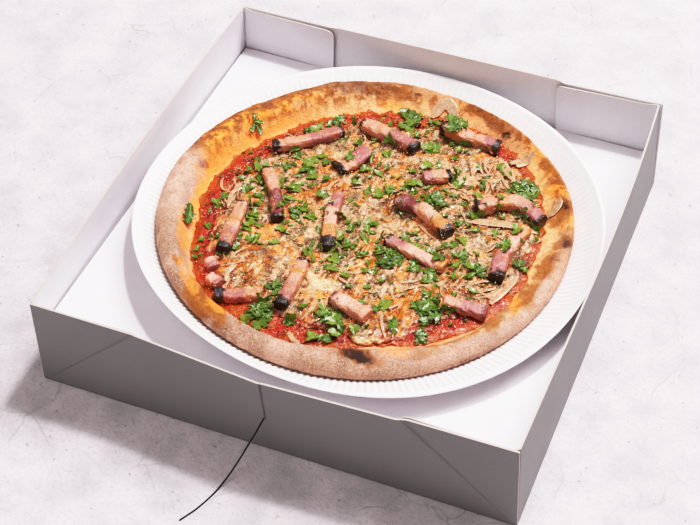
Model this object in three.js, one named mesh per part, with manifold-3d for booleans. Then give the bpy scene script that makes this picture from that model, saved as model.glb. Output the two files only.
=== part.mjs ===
// A pizza on a fluted paper plate, standing on the raised floor of an open folded-board tray.
// Millimetres, +Z up, +X to the right along the front wall, +Y to the back.
// The origin is on the surface that the tray stands on, below the middle of its outer box.

import * as THREE from "three";
import { mergeVertices } from "three/addons/utils/BufferGeometryUtils.js";
import Module from "manifold-3d";

const wasm = await Module();
wasm.setup();

// ---------- Driving dimensions ----------

const TRAY_WIDTH = 316; // X, at the floor
const TRAY_DEPTH = 314; // Y, at the floor
const TRAY_HEIGHT = 72;
const BOARD = 1.2; // thickness of the folded board
const CORNER_LEAN = 2; // the side walls' corners lean in by this at the top
const SIDE_BOW = 3.6; // and their middles bow out from there
const SIDE_STEPS = 8; // flat facets along that bow
const BACK_LEAN = 0.3; // the back wall leans out at the top
const FRONT_LEAN = 0.6; // so does the front wall, at its corners
const FRONT_BULGE = 7.6; // more, where its middle is pushed out at the slit
const RIGHT_CREASE_BULGE = 3.4; // what is left of that bulge at the right-hand crease
const FLAP_LENGTH = 72; // glued end flaps of the side walls
const FLAP_RADIUS = 6;
const FLAP_INSET = 1.65; // from the wall's outer face to the middle of the flap's thickness
const FLAP_DROP = 1.2; // a flap's top edge is this much below the wall's
const SLIT_WIDTH = 1.2; // down from the top edge at the middle of the front wall
const SLIT_BOTTOM = 36;

const GAP = 0.35; // clearance between pieces that touch
const RIM_GAP = 0.7; // the same between the plate's curved rim and the crust
const RAISED_FLOOR = 37.6; // height of the raised floor at the middle
const FLOOR_SLOPE_X = 0.02; // it falls to the right
const FLOOR_SLOPE_Y = 0.032; // and to the back
const RAISED_WIDTH = 310.4;
const RAISED_DEPTH = 308.4;

const PLATE = { x: 2.5, y: -0.3, radius: 152.4, well: 112, rise: 21.3, thickness: 0.8 };
const PLATE_CURVE = 1.6; // how the rim steepens outwards
// The rim's warp: [waves round the rim, cosine height, sine height].
const PLATE_WARP = [
  [2, -0.85, 3.6],
  [3, 2.6, 1.4],
];

const PIZZA = { x: 0.25, y: 2.75, radius: 135.4 };
// The outline's unevenness, in the same form as the plate's warp.
const PIZZA_WOBBLE = [
  [2, -0.2, 2.0],
  [3, 0.3, 0.4],
  [4, -0.2, 1.1],
  [5, -0.4, 0.1],
];
const DOUGH_TOP = 7.4; // above the plate's underside, inside the rim
const RIM_WIDTH = 21; // of the rim where it is as wide as usual
const RIM_RISE = 10.4; // its crest over its outer lower edge there; a narrower rim is lower
const RIM_RISE_MOST = 1.1; // and a wider one is at most this many times as high
const RIM_WAIST = 3.4; // height of its widest point over that edge
const RIM_CREST = 0.5; // where the crest lies across the rim's width
const FOOT_INSET = 1.2; // the outer lower edge is rounded under by this
const SAUCE_THICKNESS = 1.2;
const CHEESE_THICKNESS = 1.9;
const CHEESE_CLEARANCE = 1.004; // how much wider the gap round the cheese is than the cheese
// Radii at equal steps anticlockwise from +X: where the rim starts to rise, and the cheese's edge.
const DOUGH_EDGE = [110, 115, 121, 123, 116, 112, 106, 108, 116, 111, 118, 117, 115, 106, 111, 112];
const CHEESE_EDGE = [103, 108, 115, 112, 104, 101, 93, 97, 97, 101, 106, 105, 99, 98, 98, 102];

const CORD_DIAMETER = 0.9;

// ---------- Materials ----------

function finish(color, roughness) {
  return new THREE.MeshStandardMaterial({ color, roughness, metalness: 0 });
}

const whiteBoard = finish(0xeeecf0, 0.75);
const platePaper = finish(0xf6f6f7, 0.7);
const bakedDough = finish(0xc89f76, 0.85);
const tomato = finish(0xa8261a, 0.35);
const meltedCheese = finish(0xc7a678, 0.5);
const smokedBacon = finish(0xb86f62, 0.5);
const parsleyGreen = finish(0x2f7a2a, 0.5);
const cookedOnion = finish(0xd8c8a2, 0.3);
const blackCord = finish(0x101010, 0.6);

// ---------- Closed shapes ----------

// A closed skin over rings of equal count, with a pole at each end. Each ring runs anticlockwise
// about the way from the first pole to the last.
function skin(firstPole, rings, lastPole) {
  const count = rings[0].length;
  const points = [firstPole, ...rings.flat(), lastPole];
  const index = [];
  const at = (ring, step) => 1 + ring * count + (step % count);
  for (let step = 0; step < count; step++) {
    index.push(0, at(0, step + 1), at(0, step));
    for (let ring = 0; ring + 1 < rings.length; ring++) {
      index.push(at(ring, step), at(ring, step + 1), at(ring + 1, step + 1));
      index.push(at(ring, step), at(ring + 1, step + 1), at(ring + 1, step));
    }
    index.push(points.length - 1, at(rings.length - 1, step), at(rings.length - 1, step + 1));
  }
  const geometry = new THREE.BufferGeometry().setFromPoints(points);
  geometry.setIndex(index);
  return geometry;
}

// A closed slab between two surfaces, each a function of a column and a row number. The front
// surface is seen with its columns running to the right and its rows upwards.
function slab(front, back, columns, rows) {
  const points = [];
  for (const side of [front, back]) {
    for (let row = 0; row <= rows; row++) {
      for (let column = 0; column <= columns; column++) points.push(side(column, row));
    }
  }
  const index = [];
  const layer = (columns + 1) * (rows + 1);
  const at = (side, column, row) => side * layer + row * (columns + 1) + column;
  const quad = (a, b, c, d) => index.push(a, b, c, a, c, d);
  for (let row = 0; row < rows; row++) {
    for (let column = 0; column < columns; column++) {
      quad(at(0, column, row), at(0, column + 1, row), at(0, column + 1, row + 1), at(0, column, row + 1));
      quad(at(1, column, row), at(1, column, row + 1), at(1, column + 1, row + 1), at(1, column + 1, row));
    }
    quad(at(1, 0, row), at(0, 0, row), at(0, 0, row + 1), at(1, 0, row + 1));
    quad(at(0, columns, row), at(1, columns, row), at(1, columns, row + 1), at(0, columns, row + 1));
  }
  for (let column = 0; column < columns; column++) {
    quad(at(1, column, 0), at(1, column + 1, 0), at(0, column + 1, 0), at(0, column, 0));
    quad(at(0, column, rows), at(0, column + 1, rows), at(1, column + 1, rows), at(1, column, rows));
  }
  const geometry = new THREE.BufferGeometry().setFromPoints(points);
  geometry.setIndex(index);
  return geometry;
}

function toSolid(geometry) {
  const bare = geometry.clone();
  bare.deleteAttribute("normal");
  bare.deleteAttribute("uv");
  const merged = mergeVertices(bare, 1e-4);
  const mesh = new wasm.Mesh({
    numProp: 3,
    vertProperties: merged.attributes.position.array,
    triVerts: new Uint32Array(merged.index.array),
  });
  return new wasm.Manifold(mesh);
}

function toGeometry(solid) {
  const mesh = solid.getMesh();
  const geometry = new THREE.BufferGeometry();
  geometry.setAttribute("position", new THREE.BufferAttribute(mesh.vertProperties, 3));
  geometry.setIndex(new THREE.BufferAttribute(mesh.triVerts, 1));
  geometry.computeVertexNormals();
  return geometry;
}

// ---------- The whole, and the group that lies on the raised floor ----------

const object = new THREE.Group();
// The front wall's bulge makes the tray deeper in front than behind, so it stands a little back.
object.position.y = (FRONT_LEAN + FRONT_BULGE - BACK_LEAN) / 2;

const onFloor = new THREE.Group();
onFloor.position.z = RAISED_FLOOR + GAP;
onFloor.rotation.set(-Math.atan(FLOOR_SLOPE_Y), Math.atan(FLOOR_SLOPE_X), 0);
object.add(onFloor);

function addPiece(parent, name, geometry, material) {
  const piece = new THREE.Mesh(geometry, material);
  piece.name = name;
  parent.add(piece);
  return piece;
}

// ---------- Tray: one sheet of board, folded up into four walls with glued end flaps ----------

// The walls' outline at a height, inset from their outer faces. The side walls bow out at the top,
// and the front wall leans out between the diagonal creases that run up from its lower corners.
function wallOutline(height, inset) {
  const row = height / TRAY_HEIGHT;
  const halfWidth = TRAY_WIDTH / 2 - inset;
  const halfDepth = TRAY_DEPTH / 2 - inset;
  const corner = halfWidth - CORNER_LEAN * row;
  const crease = halfWidth - 1 - (FLAP_LENGTH - 1) * row;
  const place = (x, y) => new THREE.Vector3(x, y, height);
  const front = (x, bulge) => place(x, -halfDepth - (FRONT_LEAN + bulge) * row);
  const side = (end) =>
    Array.from({ length: SIDE_STEPS - 1 }, (_, step) => {
      const along = (2 * (step + 1)) / SIDE_STEPS - 1;
      const bow = SIDE_BOW * Math.cos((Math.PI * along) / 2);
      return place(end * (corner + bow * row), end * along * halfDepth);
    });
  const back = halfDepth + BACK_LEAN * row;
  return [
    front(-corner, 0),
    front(-crease, 0),
    front(0, FRONT_BULGE),
    front(crease, RIGHT_CREASE_BULGE),
    front(corner, 1),
    ...side(1),
    place(corner, back),
    place(-corner, back),
    ...side(-1),
  ];
}

function wallBody(bottom, top, inset) {
  const rings = [wallOutline(bottom, inset), wallOutline(top, inset)];
  return toSolid(skin(new THREE.Vector3(0, 0, bottom), rings, new THREE.Vector3(0, 0, top)));
}

// A flap runs along the inside of the front or back wall, from a corner to a rounded free end.
function endFlap(side, end) {
  const height = TRAY_HEIGHT - FLAP_DROP;
  const outline = new THREE.Shape();
  outline.moveTo(0, BOARD / 2);
  outline.lineTo(FLAP_LENGTH, BOARD / 2);
  outline.lineTo(FLAP_LENGTH, height - FLAP_RADIUS);
  outline.absarc(FLAP_LENGTH - FLAP_RADIUS, height - FLAP_RADIUS, FLAP_RADIUS, 0, Math.PI / 2, false);
  outline.lineTo(CORNER_LEAN, height);
  const flap = new THREE.ExtrudeGeometry(outline, {
    depth: BOARD,
    bevelEnabled: false,
    curveSegments: 4,
  });
  flap.rotateX(Math.PI / 2); // the outline stands up, and the thickness runs to -Y
  flap.translate(0, BOARD / 2, 0);
  flap.rotateZ(side > 0 ? Math.PI : 0); // a right-hand flap runs to the left
  return flap.translate(side * (TRAY_WIDTH / 2 - BOARD / 2), end * (TRAY_DEPTH / 2 - FLAP_INSET), 0);
}

function tray() {
  const overcut = 4; // how far the inner shape reaches past the top edge
  const slit = new THREE.BoxGeometry(SLIT_WIDTH, 10 * FRONT_BULGE, TRAY_HEIGHT);
  slit.translate(0, -TRAY_DEPTH / 2, SLIT_BOTTOM + TRAY_HEIGHT / 2);
  let solid = wallBody(0, TRAY_HEIGHT, 0);
  solid = solid.subtract(wallBody(BOARD, TRAY_HEIGHT + overcut, BOARD)).subtract(toSolid(slit));
  for (const side of [-1, 1]) {
    for (const end of [-1, 1]) solid = solid.add(toSolid(endFlap(side, end)));
  }
  return toGeometry(solid);
}

addPiece(object, "tray", tray(), whiteBoard);

// ---------- Raised floor: a boxed insert that fills the tray below the plate ----------

function raisedFloor() {
  const corner = (level) => (column, row) => {
    const x = (column - 0.5) * RAISED_WIDTH;
    const y = (row - 0.5) * RAISED_DEPTH;
    const top = RAISED_FLOOR - FLOOR_SLOPE_X * x - FLOOR_SLOPE_Y * y;
    return new THREE.Vector3(x, y, level === "top" ? top : BOARD + GAP);
  };
  return slab(corner("top"), corner("bottom"), 1, 1);
}

addPiece(object, "raised_floor", raisedFloor(), whiteBoard);

// ---------- Heights above the plate's underside, at any place on the raised floor ----------

function wave(terms, angle) {
  return terms.reduce(
    (sum, [count, cosine, sine]) => sum + cosine * Math.cos(count * angle) + sine * Math.sin(count * angle),
    0,
  );
}

// Smooth value at an angle, of radii given at equal steps round the circle.
function roundValue(radii, angle) {
  const place = ((angle / (2 * Math.PI)) % 1 + 1) * radii.length;
  const step = Math.floor(place);
  const part = place - step;
  const [a, b, c, d] = [-1, 0, 1, 2].map((offset) => radii[(step + offset + radii.length) % radii.length]);
  return b + 0.5 * part * (c - a + part * (2 * a - 5 * b + 4 * c - d + part * (3 * (b - c) + d - a)));
}

function plateTop(x, y) {
  const angle = Math.atan2(y - PLATE.y, x - PLATE.x);
  const distance = Math.hypot(x - PLATE.x, y - PLATE.y);
  const out = Math.max(0, (distance - PLATE.well) / (PLATE.radius - PLATE.well));
  return PLATE.thickness + PLATE.rise * out ** PLATE_CURVE + wave(PLATE_WARP, angle) * out ** 2;
}

const crustEdge = (angle) => PIZZA.radius + wave(PIZZA_WOBBLE, angle);
const doughEdge = (angle) => roundValue(DOUGH_EDGE, angle);
const cheeseEdge = (angle) => roundValue(CHEESE_EDGE, angle);

function onPizza(angle, radius) {
  return [PIZZA.x + radius * Math.cos(angle), PIZZA.y + radius * Math.sin(angle)];
}

function crustFoot(angle) {
  return plateTop(...onPizza(angle, crustEdge(angle))) + RIM_GAP;
}

// The crust's upper surface: flat under the sauce, then up to the crest and over to its waist.
function doughTop(angle, radius) {
  const inner = doughEdge(angle);
  const width = crustEdge(angle) - inner;
  const across = (radius - inner) / width;
  if (across <= 0) return DOUGH_TOP;
  const lumps = 0.7 * Math.sin(7 * angle) + 0.5 * Math.sin(12 * angle + 1);
  const rise = RIM_RISE * Math.min(RIM_RISE_MOST, Math.sqrt(width / RIM_WIDTH));
  const crest = crustFoot(angle) + rise + lumps;
  if (across < RIM_CREST) {
    return DOUGH_TOP + (crest - DOUGH_TOP) * THREE.MathUtils.smoothstep(across, 0, RIM_CREST);
  }
  const waist = crustFoot(angle) + RIM_WAIST;
  const fall = Math.min(1, (across - RIM_CREST) / (1 - RIM_CREST));
  return waist + (crest - waist) * Math.sqrt(1 - fall ** 2.4);
}

const SAUCE_BOTTOM = DOUGH_TOP + GAP;
const CHEESE_BOTTOM = SAUCE_BOTTOM + SAUCE_THICKNESS + GAP + 0.2;

function sauceTop(x, y) {
  return SAUCE_BOTTOM + SAUCE_THICKNESS + 0.2 * Math.sin(x / 6) * Math.cos(y / 7);
}

function cheeseTop(x, y) {
  const hills = 0.6 * Math.sin(x / 9 + 1) * Math.cos(y / 8) + 0.5 * Math.sin((x + y) / 13 + 2);
  return CHEESE_BOTTOM + CHEESE_THICKNESS + hills;
}

// The highest of dough, sauce and cheese.
function foodTop(x, y) {
  const angle = Math.atan2(y - PIZZA.y, x - PIZZA.x);
  const radius = Math.hypot(x - PIZZA.x, y - PIZZA.y);
  if (radius < cheeseEdge(angle)) return cheeseTop(x, y);
  return Math.max(radius < doughEdge(angle) ? sauceTop(x, y) : 0, doughTop(angle, radius));
}

// ---------- Plate ----------

function plate() {
  const steps = 56;
  const radii = [60, PLATE.well, 121, 130, 139, 147, PLATE.radius];
  const ring = (radius, lift) =>
    Array.from({ length: steps }, (_, step) => {
      const angle = (2 * Math.PI * step) / steps;
      const x = radius * Math.cos(angle);
      const y = radius * Math.sin(angle);
      return new THREE.Vector3(x, y, plateTop(x + PLATE.x, y + PLATE.y) - PLATE.thickness + lift);
    });
  const under = radii.map((radius) => ring(radius, 0));
  const over = radii.map((radius) => ring(radius, PLATE.thickness)).reverse();
  const middle = new THREE.Vector3(0, 0, PLATE.thickness);
  return skin(new THREE.Vector3(), [...under, ...over], middle);
}

addPiece(onFloor, "plate", plate(), platePaper).position.set(PLATE.x, PLATE.y, 0);

// ---------- Crust, sauce and cheese ----------

// A closed round body about the pizza's middle, from stations of [radius, height] at each angle.
function roundBody(steps, bottom, top, stations) {
  const rings = [];
  for (let step = 0; step < steps; step++) {
    const angle = (2 * Math.PI * step) / steps;
    stations(angle).forEach(([radius, height], ring) => {
      rings[ring] ??= [];
      rings[ring].push(new THREE.Vector3(...onPizza(angle, radius), height));
    });
  }
  const [x, y] = [PIZZA.x, PIZZA.y];
  return skin(new THREE.Vector3(x, y, bottom), rings, new THREE.Vector3(x, y, top));
}

function crust() {
  const underside = [
    [60, GAP],
    [108, RIM_GAP],
    [118, RIM_GAP],
    [127, RIM_GAP],
  ];
  const acrossRim = [0.96, 0.86, 0.7, RIM_CREST, 0.34, 0.18, 0.06, 0];
  return roundBody(60, PLATE.thickness + GAP, DOUGH_TOP, (angle) => {
    const edge = crustEdge(angle);
    const inner = doughEdge(angle);
    const foot = crustFoot(angle);
    return [
      ...underside.map(([radius, gap]) => [radius, plateTop(...onPizza(angle, radius)) + gap]),
      [edge - FOOT_INSET, foot],
      [edge, foot + RIM_WAIST],
      ...acrossRim.map((across) => {
        const radius = inner + across * (edge - inner);
        return [radius, doughTop(angle, radius)];
      }),
      [60, DOUGH_TOP],
    ];
  });
}

function sauce() {
  return roundBody(60, SAUCE_BOTTOM, sauceTop(PIZZA.x, PIZZA.y), (angle) => {
    const edge = doughEdge(angle) - 0.6;
    const topAt = (radius, fall) => [radius, sauceTop(...onPizza(angle, radius)) - fall];
    return [[edge, SAUCE_BOTTOM], topAt(edge, 0.6), topAt(edge - 4, 0), topAt(edge - 14, 0), topAt(50, 0)];
  });
}

function cheeseSheet() {
  const radii = [90, 76, 62, 48, 34, 18];
  return roundBody(48, CHEESE_BOTTOM, cheeseTop(PIZZA.x, PIZZA.y), (angle) => {
    const edge = cheeseEdge(angle);
    const scale = (edge - 4) / radii[0];
    return [
      [edge, CHEESE_BOTTOM],
      [edge - 0.6, CHEESE_BOTTOM + 0.9],
      ...radii.map((radius) => [radius * scale, cheeseTop(...onPizza(angle, radius * scale))]),
    ];
  });
}

const crustGeometry = crust();
const sauceGeometry = sauce();
const cheeseGeometry = cheeseSheet();

// What the toppings rest on: each surface raised by the clearance that is kept to it, and repeated
// lower down, so that nothing is left under it. The cheese also keeps that clearance at its edge.
const underToppings = [GAP, 0, -0.5, -1.3].flatMap((lift) => [
  toSolid(crustGeometry).translate([0, 0, lift]),
  toSolid(sauceGeometry).translate([0, 0, lift]),
  toSolid(cheeseGeometry).scale([CHEESE_CLEARANCE, CHEESE_CLEARANCE, 1]).translate([0, 0, lift]),
]);

function largestBody(solid) {
  return solid.decompose().sort((a, b) => b.volume() - a.volume())[0];
}

function restedOn(geometry) {
  return largestBody(underToppings.reduce((left, support) => left.subtract(support), toSolid(geometry)));
}

// ---------- Bacon batons ----------

// A closed bar along a route of [x, y] places on the food, with bevelled edges.
function bar(route, width, height, lift, stations) {
  const heights = route.map(([x, y]) => foodTop(x, y));
  const points = route.map(([x, y], place) => new THREE.Vector3(x, y, heights[place] + lift + height / 2));
  const curve = new THREE.CatmullRomCurve3(points);
  const bevel = Math.min(width, height) * 0.22;
  const [w, h] = [width / 2, height / 2];
  const section = [
    [w, -h + bevel],
    [w, h - bevel],
    [w - bevel, h],
    [-w + bevel, h],
    [-w, h - bevel],
    [-w, -h + bevel],
    [-w + bevel, -h],
    [w - bevel, -h],
  ];
  const rings = [];
  for (let station = 0; station <= stations; station++) {
    const centre = curve.getPoint(station / stations);
    const along = curve.getTangent(station / stations).setZ(0).normalize();
    const left = new THREE.Vector3(-along.y, along.x, 0);
    const ring = section.map(([across, up]) =>
      centre.clone().addScaledVector(left, -across).add(new THREE.Vector3(0, 0, up)),
    );
    rings.push(ring.reverse());
  }
  return skin(points[0].clone(), rings, points.at(-1).clone());
}

const BACON_SINK = -0.7; // the batons sit into the melted cheese
const bacon = [
  { route: [[-84, 44], [-67, 56], [-47, 77]], width: 9, height: 7 },
  { route: [[-36, 88], [-16, 84], [7, 79]], width: 10, height: 8 },
  { route: [[-23, 65], [-29, 53], [-35, 40]], width: 13, height: 6 },
  { route: [[-78, 20], [-64, 1], [-53, -21]], width: 8, height: 7 },
  { route: [[-24, 15], [-21, -7], [-12, -33]], width: 9, height: 7 },
  { route: [[-79, -18], [-77, -38], [-74, -60]], width: 9, height: 7 },
  { route: [[-79, -70], [-73, -75]], width: 9, height: 6 },
  { route: [[-72, -84], [-64, -87]], width: 8, height: 6 },
  { route: [[-62, -97], [-49, -92], [-36, -87]], width: 9, height: 7 },
  { route: [[-22, -50], [-20, -70], [-20, -92]], width: 9, height: 7 },
  { route: [[7, -73], [20, -76], [33, -80]], width: 10, height: 8 },
  { route: [[73, -49], [99, -47]], width: 10, height: 7 },
  { route: [[20, -11], [40, -16], [62, -20]], width: 9, height: 6 },
  { route: [[99, 31], [94, 4], [96, -19]], width: 10, height: 8 },
  { route: [[64, 38], [85, 53], [107, 44]], width: 11, height: 9 },
  { route: [[16, 106], [36, 103], [58, 103]], width: 10, height: 9 },
  { route: [[13, 26], [32, 22], [55, 8]], width: 11, height: 8 },
  { route: [[22, 52], [37, 63]], width: 9, height: 7 },
];

const baconSolids = bacon.map(({ route, width, height }) =>
  restedOn(bar(route, width, height, BACON_SINK, route.length > 2 ? 3 : 1)),
);
baconSolids.forEach((solid, place) => {
  const name = `bacon_${String(place + 1).padStart(2, "0")}`;
  addPiece(onFloor, name, toGeometry(solid), smokedBacon);
});

// ---------- Onion strips ----------

const ONION_LIFT = 0.5;
const onions = [
  { route: [[-86, 2], [-91, -8], [-88, -22]], width: 3, height: 1.4 },
  { route: [[-61, -67], [-63, -76], [-61, -83]], width: 3, height: 1.6 },
  { route: [[83, 104], [76, 98], [70, 91]], width: 6, height: 1.6 },
  { route: [[62, 92], [68, 86], [78, 75]], width: 4, height: 1.6 },
  { route: [[2, 119], [10, 130], [21, 124]], width: 5, height: 1.5 },
  { route: [[107, -6], [104, -20], [99, -36]], width: 3, height: 1.5 },
  { route: [[60, 27], [84, 33], [107, 36]], width: 3.5, height: 1.5 },
  { route: [[-8, -106], [-3, -111], [3, -113]], width: 2.5, height: 1.4 },
  { route: [[108, 52], [112, 58], [112, 66]], width: 4, height: 1.5 },
];

onions.forEach(({ route, width, height }, place) => {
  const strip = baconSolids.reduce(
    (left, solid) => left.subtract(solid.translate([0, 0, -GAP])).subtract(solid.translate([0, 0, GAP])),
    restedOn(bar(route, width, height, ONION_LIFT, 5)),
  );
  addPiece(onFloor, `onion_strip_${place + 1}`, toGeometry(largestBody(strip)), cookedOnion);
});

// ---------- Parsley leaves ----------

const LEAF_THICKNESS = 0.6;
const LEAF_GAP = 0.6; // least height of a leaf over the food

// A thin wavy leaf: both faces are the same rings of points, one leaf thickness apart.
function leaf({ x, y, length, width, turn, lobes, lift }) {
  const steps = 12;
  const point = (reach, step, level) => {
    const angle = (2 * Math.PI * step) / steps;
    const lobed = 0.82 + 0.18 * Math.cos(lobes * angle);
    const along = (length / 2) * reach * lobed * Math.cos(angle);
    const across = (width / 2) * reach * lobed * Math.sin(angle);
    const px = x + along * Math.cos(turn) - across * Math.sin(turn);
    const py = y + along * Math.sin(turn) + across * Math.cos(turn);
    const ripple = 0.5 + 0.5 * Math.sin(3 * angle + x) * reach;
    const height = foodTop(px, py) + LEAF_GAP + lift + ripple + level * LEAF_THICKNESS;
    return new THREE.Vector3(px, py, height);
  };
  const ring = (reach, level) => Array.from({ length: steps }, (_, step) => point(reach, step, level));
  const rings = [ring(0.55, 0), ring(1, 0), ring(1, 1), ring(0.55, 1)];
  return skin(point(0, 0, 0), rings, point(0, 0, 1));
}

const leaves = [
  { x: 25, y: 108, length: 19, width: 15, turn: 0.3, lobes: 3, lift: 9.3 },
  { x: 65, y: -58, length: 21, width: 19, turn: 0.8, lobes: 5, lift: 0 },
  { x: 37, y: 35, length: 17, width: 15, turn: -0.3, lobes: 3, lift: 1 },
  { x: 88, y: 68, length: 24, width: 15, turn: -0.5, lobes: 5, lift: 0.3 },
  { x: 30, y: -26, length: 18, width: 14, turn: -0.2, lobes: 5, lift: 0 },
  { x: -45, y: -9, length: 10, width: 11, turn: 0.5, lobes: 3, lift: 0 },
  { x: 69, y: -5, length: 12, width: 12, turn: 1.2, lobes: 3, lift: 0 },
  { x: 106, y: 2, length: 11, width: 9, turn: 1.5, lobes: 3, lift: 1.2 },
  { x: -107, y: -40, length: 19, width: 6, turn: -1.2, lobes: 0, lift: 0 },
  { x: 11, y: -87, length: 15, width: 11, turn: -1.2, lobes: 4, lift: 0 },
  { x: -30, y: -76, length: 13, width: 9, turn: 1.4, lobes: 3, lift: 0 },
  { x: -30, y: -99, length: 17, width: 10, turn: 1.5, lobes: 5, lift: 0 },
  { x: -56, y: 90, length: 16, width: 8, turn: -0.5, lobes: 4, lift: 0 },
  { x: -9, y: 113, length: 20, width: 12, turn: 0.7, lobes: 5, lift: 0 },
  { x: -101, y: 56, length: 12, width: 9, turn: 0.2, lobes: 4, lift: 0 },
  { x: 84, y: -15, length: 13, width: 8, turn: 1.3, lobes: 3, lift: 0 },
  { x: 15, y: -102, length: 12, width: 8, turn: -0.9, lobes: 3, lift: 0 },
  { x: 68, y: -79, length: 13, width: 7, turn: 0.2, lobes: 4, lift: 0 },
];

leaves.forEach((shape, place) => {
  const name = `parsley_leaf_${String(place + 1).padStart(2, "0")}`;
  addPiece(onFloor, name, leaf(shape), parsleyGreen);
});

// ---------- Cheese, with the chopped parsley that is stuck in it ----------

const CHIP_COUNT = 40;
const CHIP_CLEARANCE = 5; // from a chip's middle to any piece that lies on the cheese

// Seeded draws between 0 and 1.
function drawsFrom(seed) {
  let state = seed;
  return () => {
    state = (Math.imul(state, 1664525) + 1013904223) >>> 0;
    return state / 2 ** 32;
  };
}

function distanceToRoute(x, y, route) {
  const place = new THREE.Vector3(x, y, 0);
  const corners = route.map(([px, py]) => new THREE.Vector3(px, py, 0));
  const spans = corners.slice(1).map((corner, step) => new THREE.Line3(corners[step], corner));
  return Math.min(
    ...spans.map((span) => span.closestPointToPoint(place, true, new THREE.Vector3()).distanceTo(place)),
  );
}

function isFree(x, y) {
  const nearStrip = [...bacon, ...onions].some(
    ({ route, width }) => distanceToRoute(x, y, route) < width / 2 + CHIP_CLEARANCE,
  );
  const nearLeaf = leaves.some(
    (shape) => Math.hypot(x - shape.x, y - shape.y) < Math.max(shape.length, shape.width) / 2 + CHIP_CLEARANCE,
  );
  return !nearStrip && !nearLeaf;
}

function cheeseWithChips() {
  const draw = drawsFrom(11);
  let solid = toSolid(cheeseGeometry);
  let placed = 0;
  while (placed < CHIP_COUNT) {
    const [x, y] = onPizza(2 * Math.PI * draw(), 90 * Math.sqrt(draw()));
    const size = 3.5 + 3 * draw();
    const turn = Math.PI * draw();
    if (!isFree(x, y)) continue;
    const chip = new THREE.BoxGeometry(size, size * 0.6, 1.4);
    chip.rotateX(0.15);
    chip.rotateZ(turn);
    chip.translate(x, y, cheeseTop(x, y));
    solid = solid.add(toSolid(chip));
    placed += 1;
  }
  return toGeometry(solid);
}

addPiece(onFloor, "crust", crustGeometry, bakedDough);
addPiece(onFloor, "tomato_sauce", sauceGeometry, tomato);
addPiece(onFloor, "melted_cheese", cheeseWithChips(), meltedCheese);

// ---------- Pull cord: out of the slit's foot, down to the table and along it ----------

const cordRoute = [
  [-0.5, -161.7, 36.2],
  [-1.1, -164.0, 34.9],
  [-3.1, -168.6, 29.5],
  [-4.6, -170.6, 26.1],
  [-6.2, -172.7, 22.5],
  [-9.3, -177.3, 15.0],
  [-10.8, -179.6, 11.6],
  [-12.2, -182.0, 8.6],
  [-14.7, -187.2, 4.0],
  [-16.8, -193.0, 1.4],
  [-18.8, -200.2, 0.6],
  [-21.2, -207.6, 0.5],
  [-22.5, -211.0, 0.5],
  [-23.9, -214.4, 0.5],
  [-26.6, -219.6, 0.5],
  [-29.5, -224.9, 0.5],
];

function pullCord() {
  const sides = 8;
  const section = new THREE.Shape();
  for (let side = 0; side < sides; side++) {
    const angle = (2 * Math.PI * side) / sides;
    const [x, y] = [(CORD_DIAMETER / 2) * Math.cos(angle), (CORD_DIAMETER / 2) * Math.sin(angle)];
    if (side === 0) section.moveTo(x, y);
    else section.lineTo(x, y);
  }
  section.closePath();
  const extrudePath = new THREE.CatmullRomCurve3(cordRoute.map((place) => new THREE.Vector3(...place)));
  return new THREE.ExtrudeGeometry(section, { steps: 40, extrudePath, bevelEnabled: false });
}

addPiece(object, "pull_cord", pullCord(), blackCord);

export default object;
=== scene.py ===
import math

import bpy
import numpy as np
from mathutils import Matrix, Vector


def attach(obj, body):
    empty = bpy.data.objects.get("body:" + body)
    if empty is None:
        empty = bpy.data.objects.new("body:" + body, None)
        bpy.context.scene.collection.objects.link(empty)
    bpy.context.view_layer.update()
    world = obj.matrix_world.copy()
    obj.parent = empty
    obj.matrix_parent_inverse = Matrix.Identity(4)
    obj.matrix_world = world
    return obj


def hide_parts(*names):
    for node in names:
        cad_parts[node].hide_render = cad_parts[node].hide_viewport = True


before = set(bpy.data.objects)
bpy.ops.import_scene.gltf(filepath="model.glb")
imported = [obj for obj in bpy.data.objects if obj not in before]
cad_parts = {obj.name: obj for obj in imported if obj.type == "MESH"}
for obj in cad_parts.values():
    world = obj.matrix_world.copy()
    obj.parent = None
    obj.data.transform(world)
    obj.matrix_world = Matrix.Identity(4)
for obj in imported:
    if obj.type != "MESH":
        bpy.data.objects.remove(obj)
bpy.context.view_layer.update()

# ---------- Camera ----------
# It stands in front of the tray and a little to the right, and looks down at the pizza from half
# way up. It is turned a little about its own axis, so the far edge of the table isn't level.

CAMERA_PLACE = Vector((0.29296, -0.71314, 0.82322))
CAMERA_AIM = Vector((-0.0139, 0.01153, 0.0))
CAMERA_ROLL = math.radians(-1.5)
CAMERA_LENS = 86.34


def camera_turn(place, aim, roll):
    forward = (aim - place).normalized()
    level = forward.cross(Vector((0, 0, 1))).normalized()
    right = level * math.cos(roll) + level.cross(forward) * math.sin(roll)
    return Matrix((right, right.cross(forward), -forward)).transposed().to_4x4()


# The picture's contrast: how bright it shows each light level.
TONES = [
    (0.0, 0.0), (0.06, 0.036), (0.18, 0.15), (0.4, 0.43), (0.7, 0.7),
    (0.95, 0.83), (1.35, 0.92), (1.7, 0.955), (2.4, 1),
]


def add_object(name, data):
    made = bpy.data.objects.new(name, data)
    bpy.context.scene.collection.objects.link(made)
    return made


camera = add_object("camera", bpy.data.cameras.new("camera"))
camera.data.lens = CAMERA_LENS
camera.data.sensor_width = 36
turned = camera_turn(CAMERA_PLACE, CAMERA_AIM, CAMERA_ROLL)
camera.matrix_world = Matrix.Translation(CAMERA_PLACE) @ turned
bpy.context.scene.camera = camera
view = bpy.context.scene.view_settings
view.view_transform = "Standard"
view.use_curve_mapping = True
brightest = TONES[-1][0]
view.curve_mapping.white_level = (brightest, brightest, brightest)
for level, shown in TONES[1:-1]:
    view.curve_mapping.curves[3].points.new(level / brightest, shown)
view.curve_mapping.update()

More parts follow.
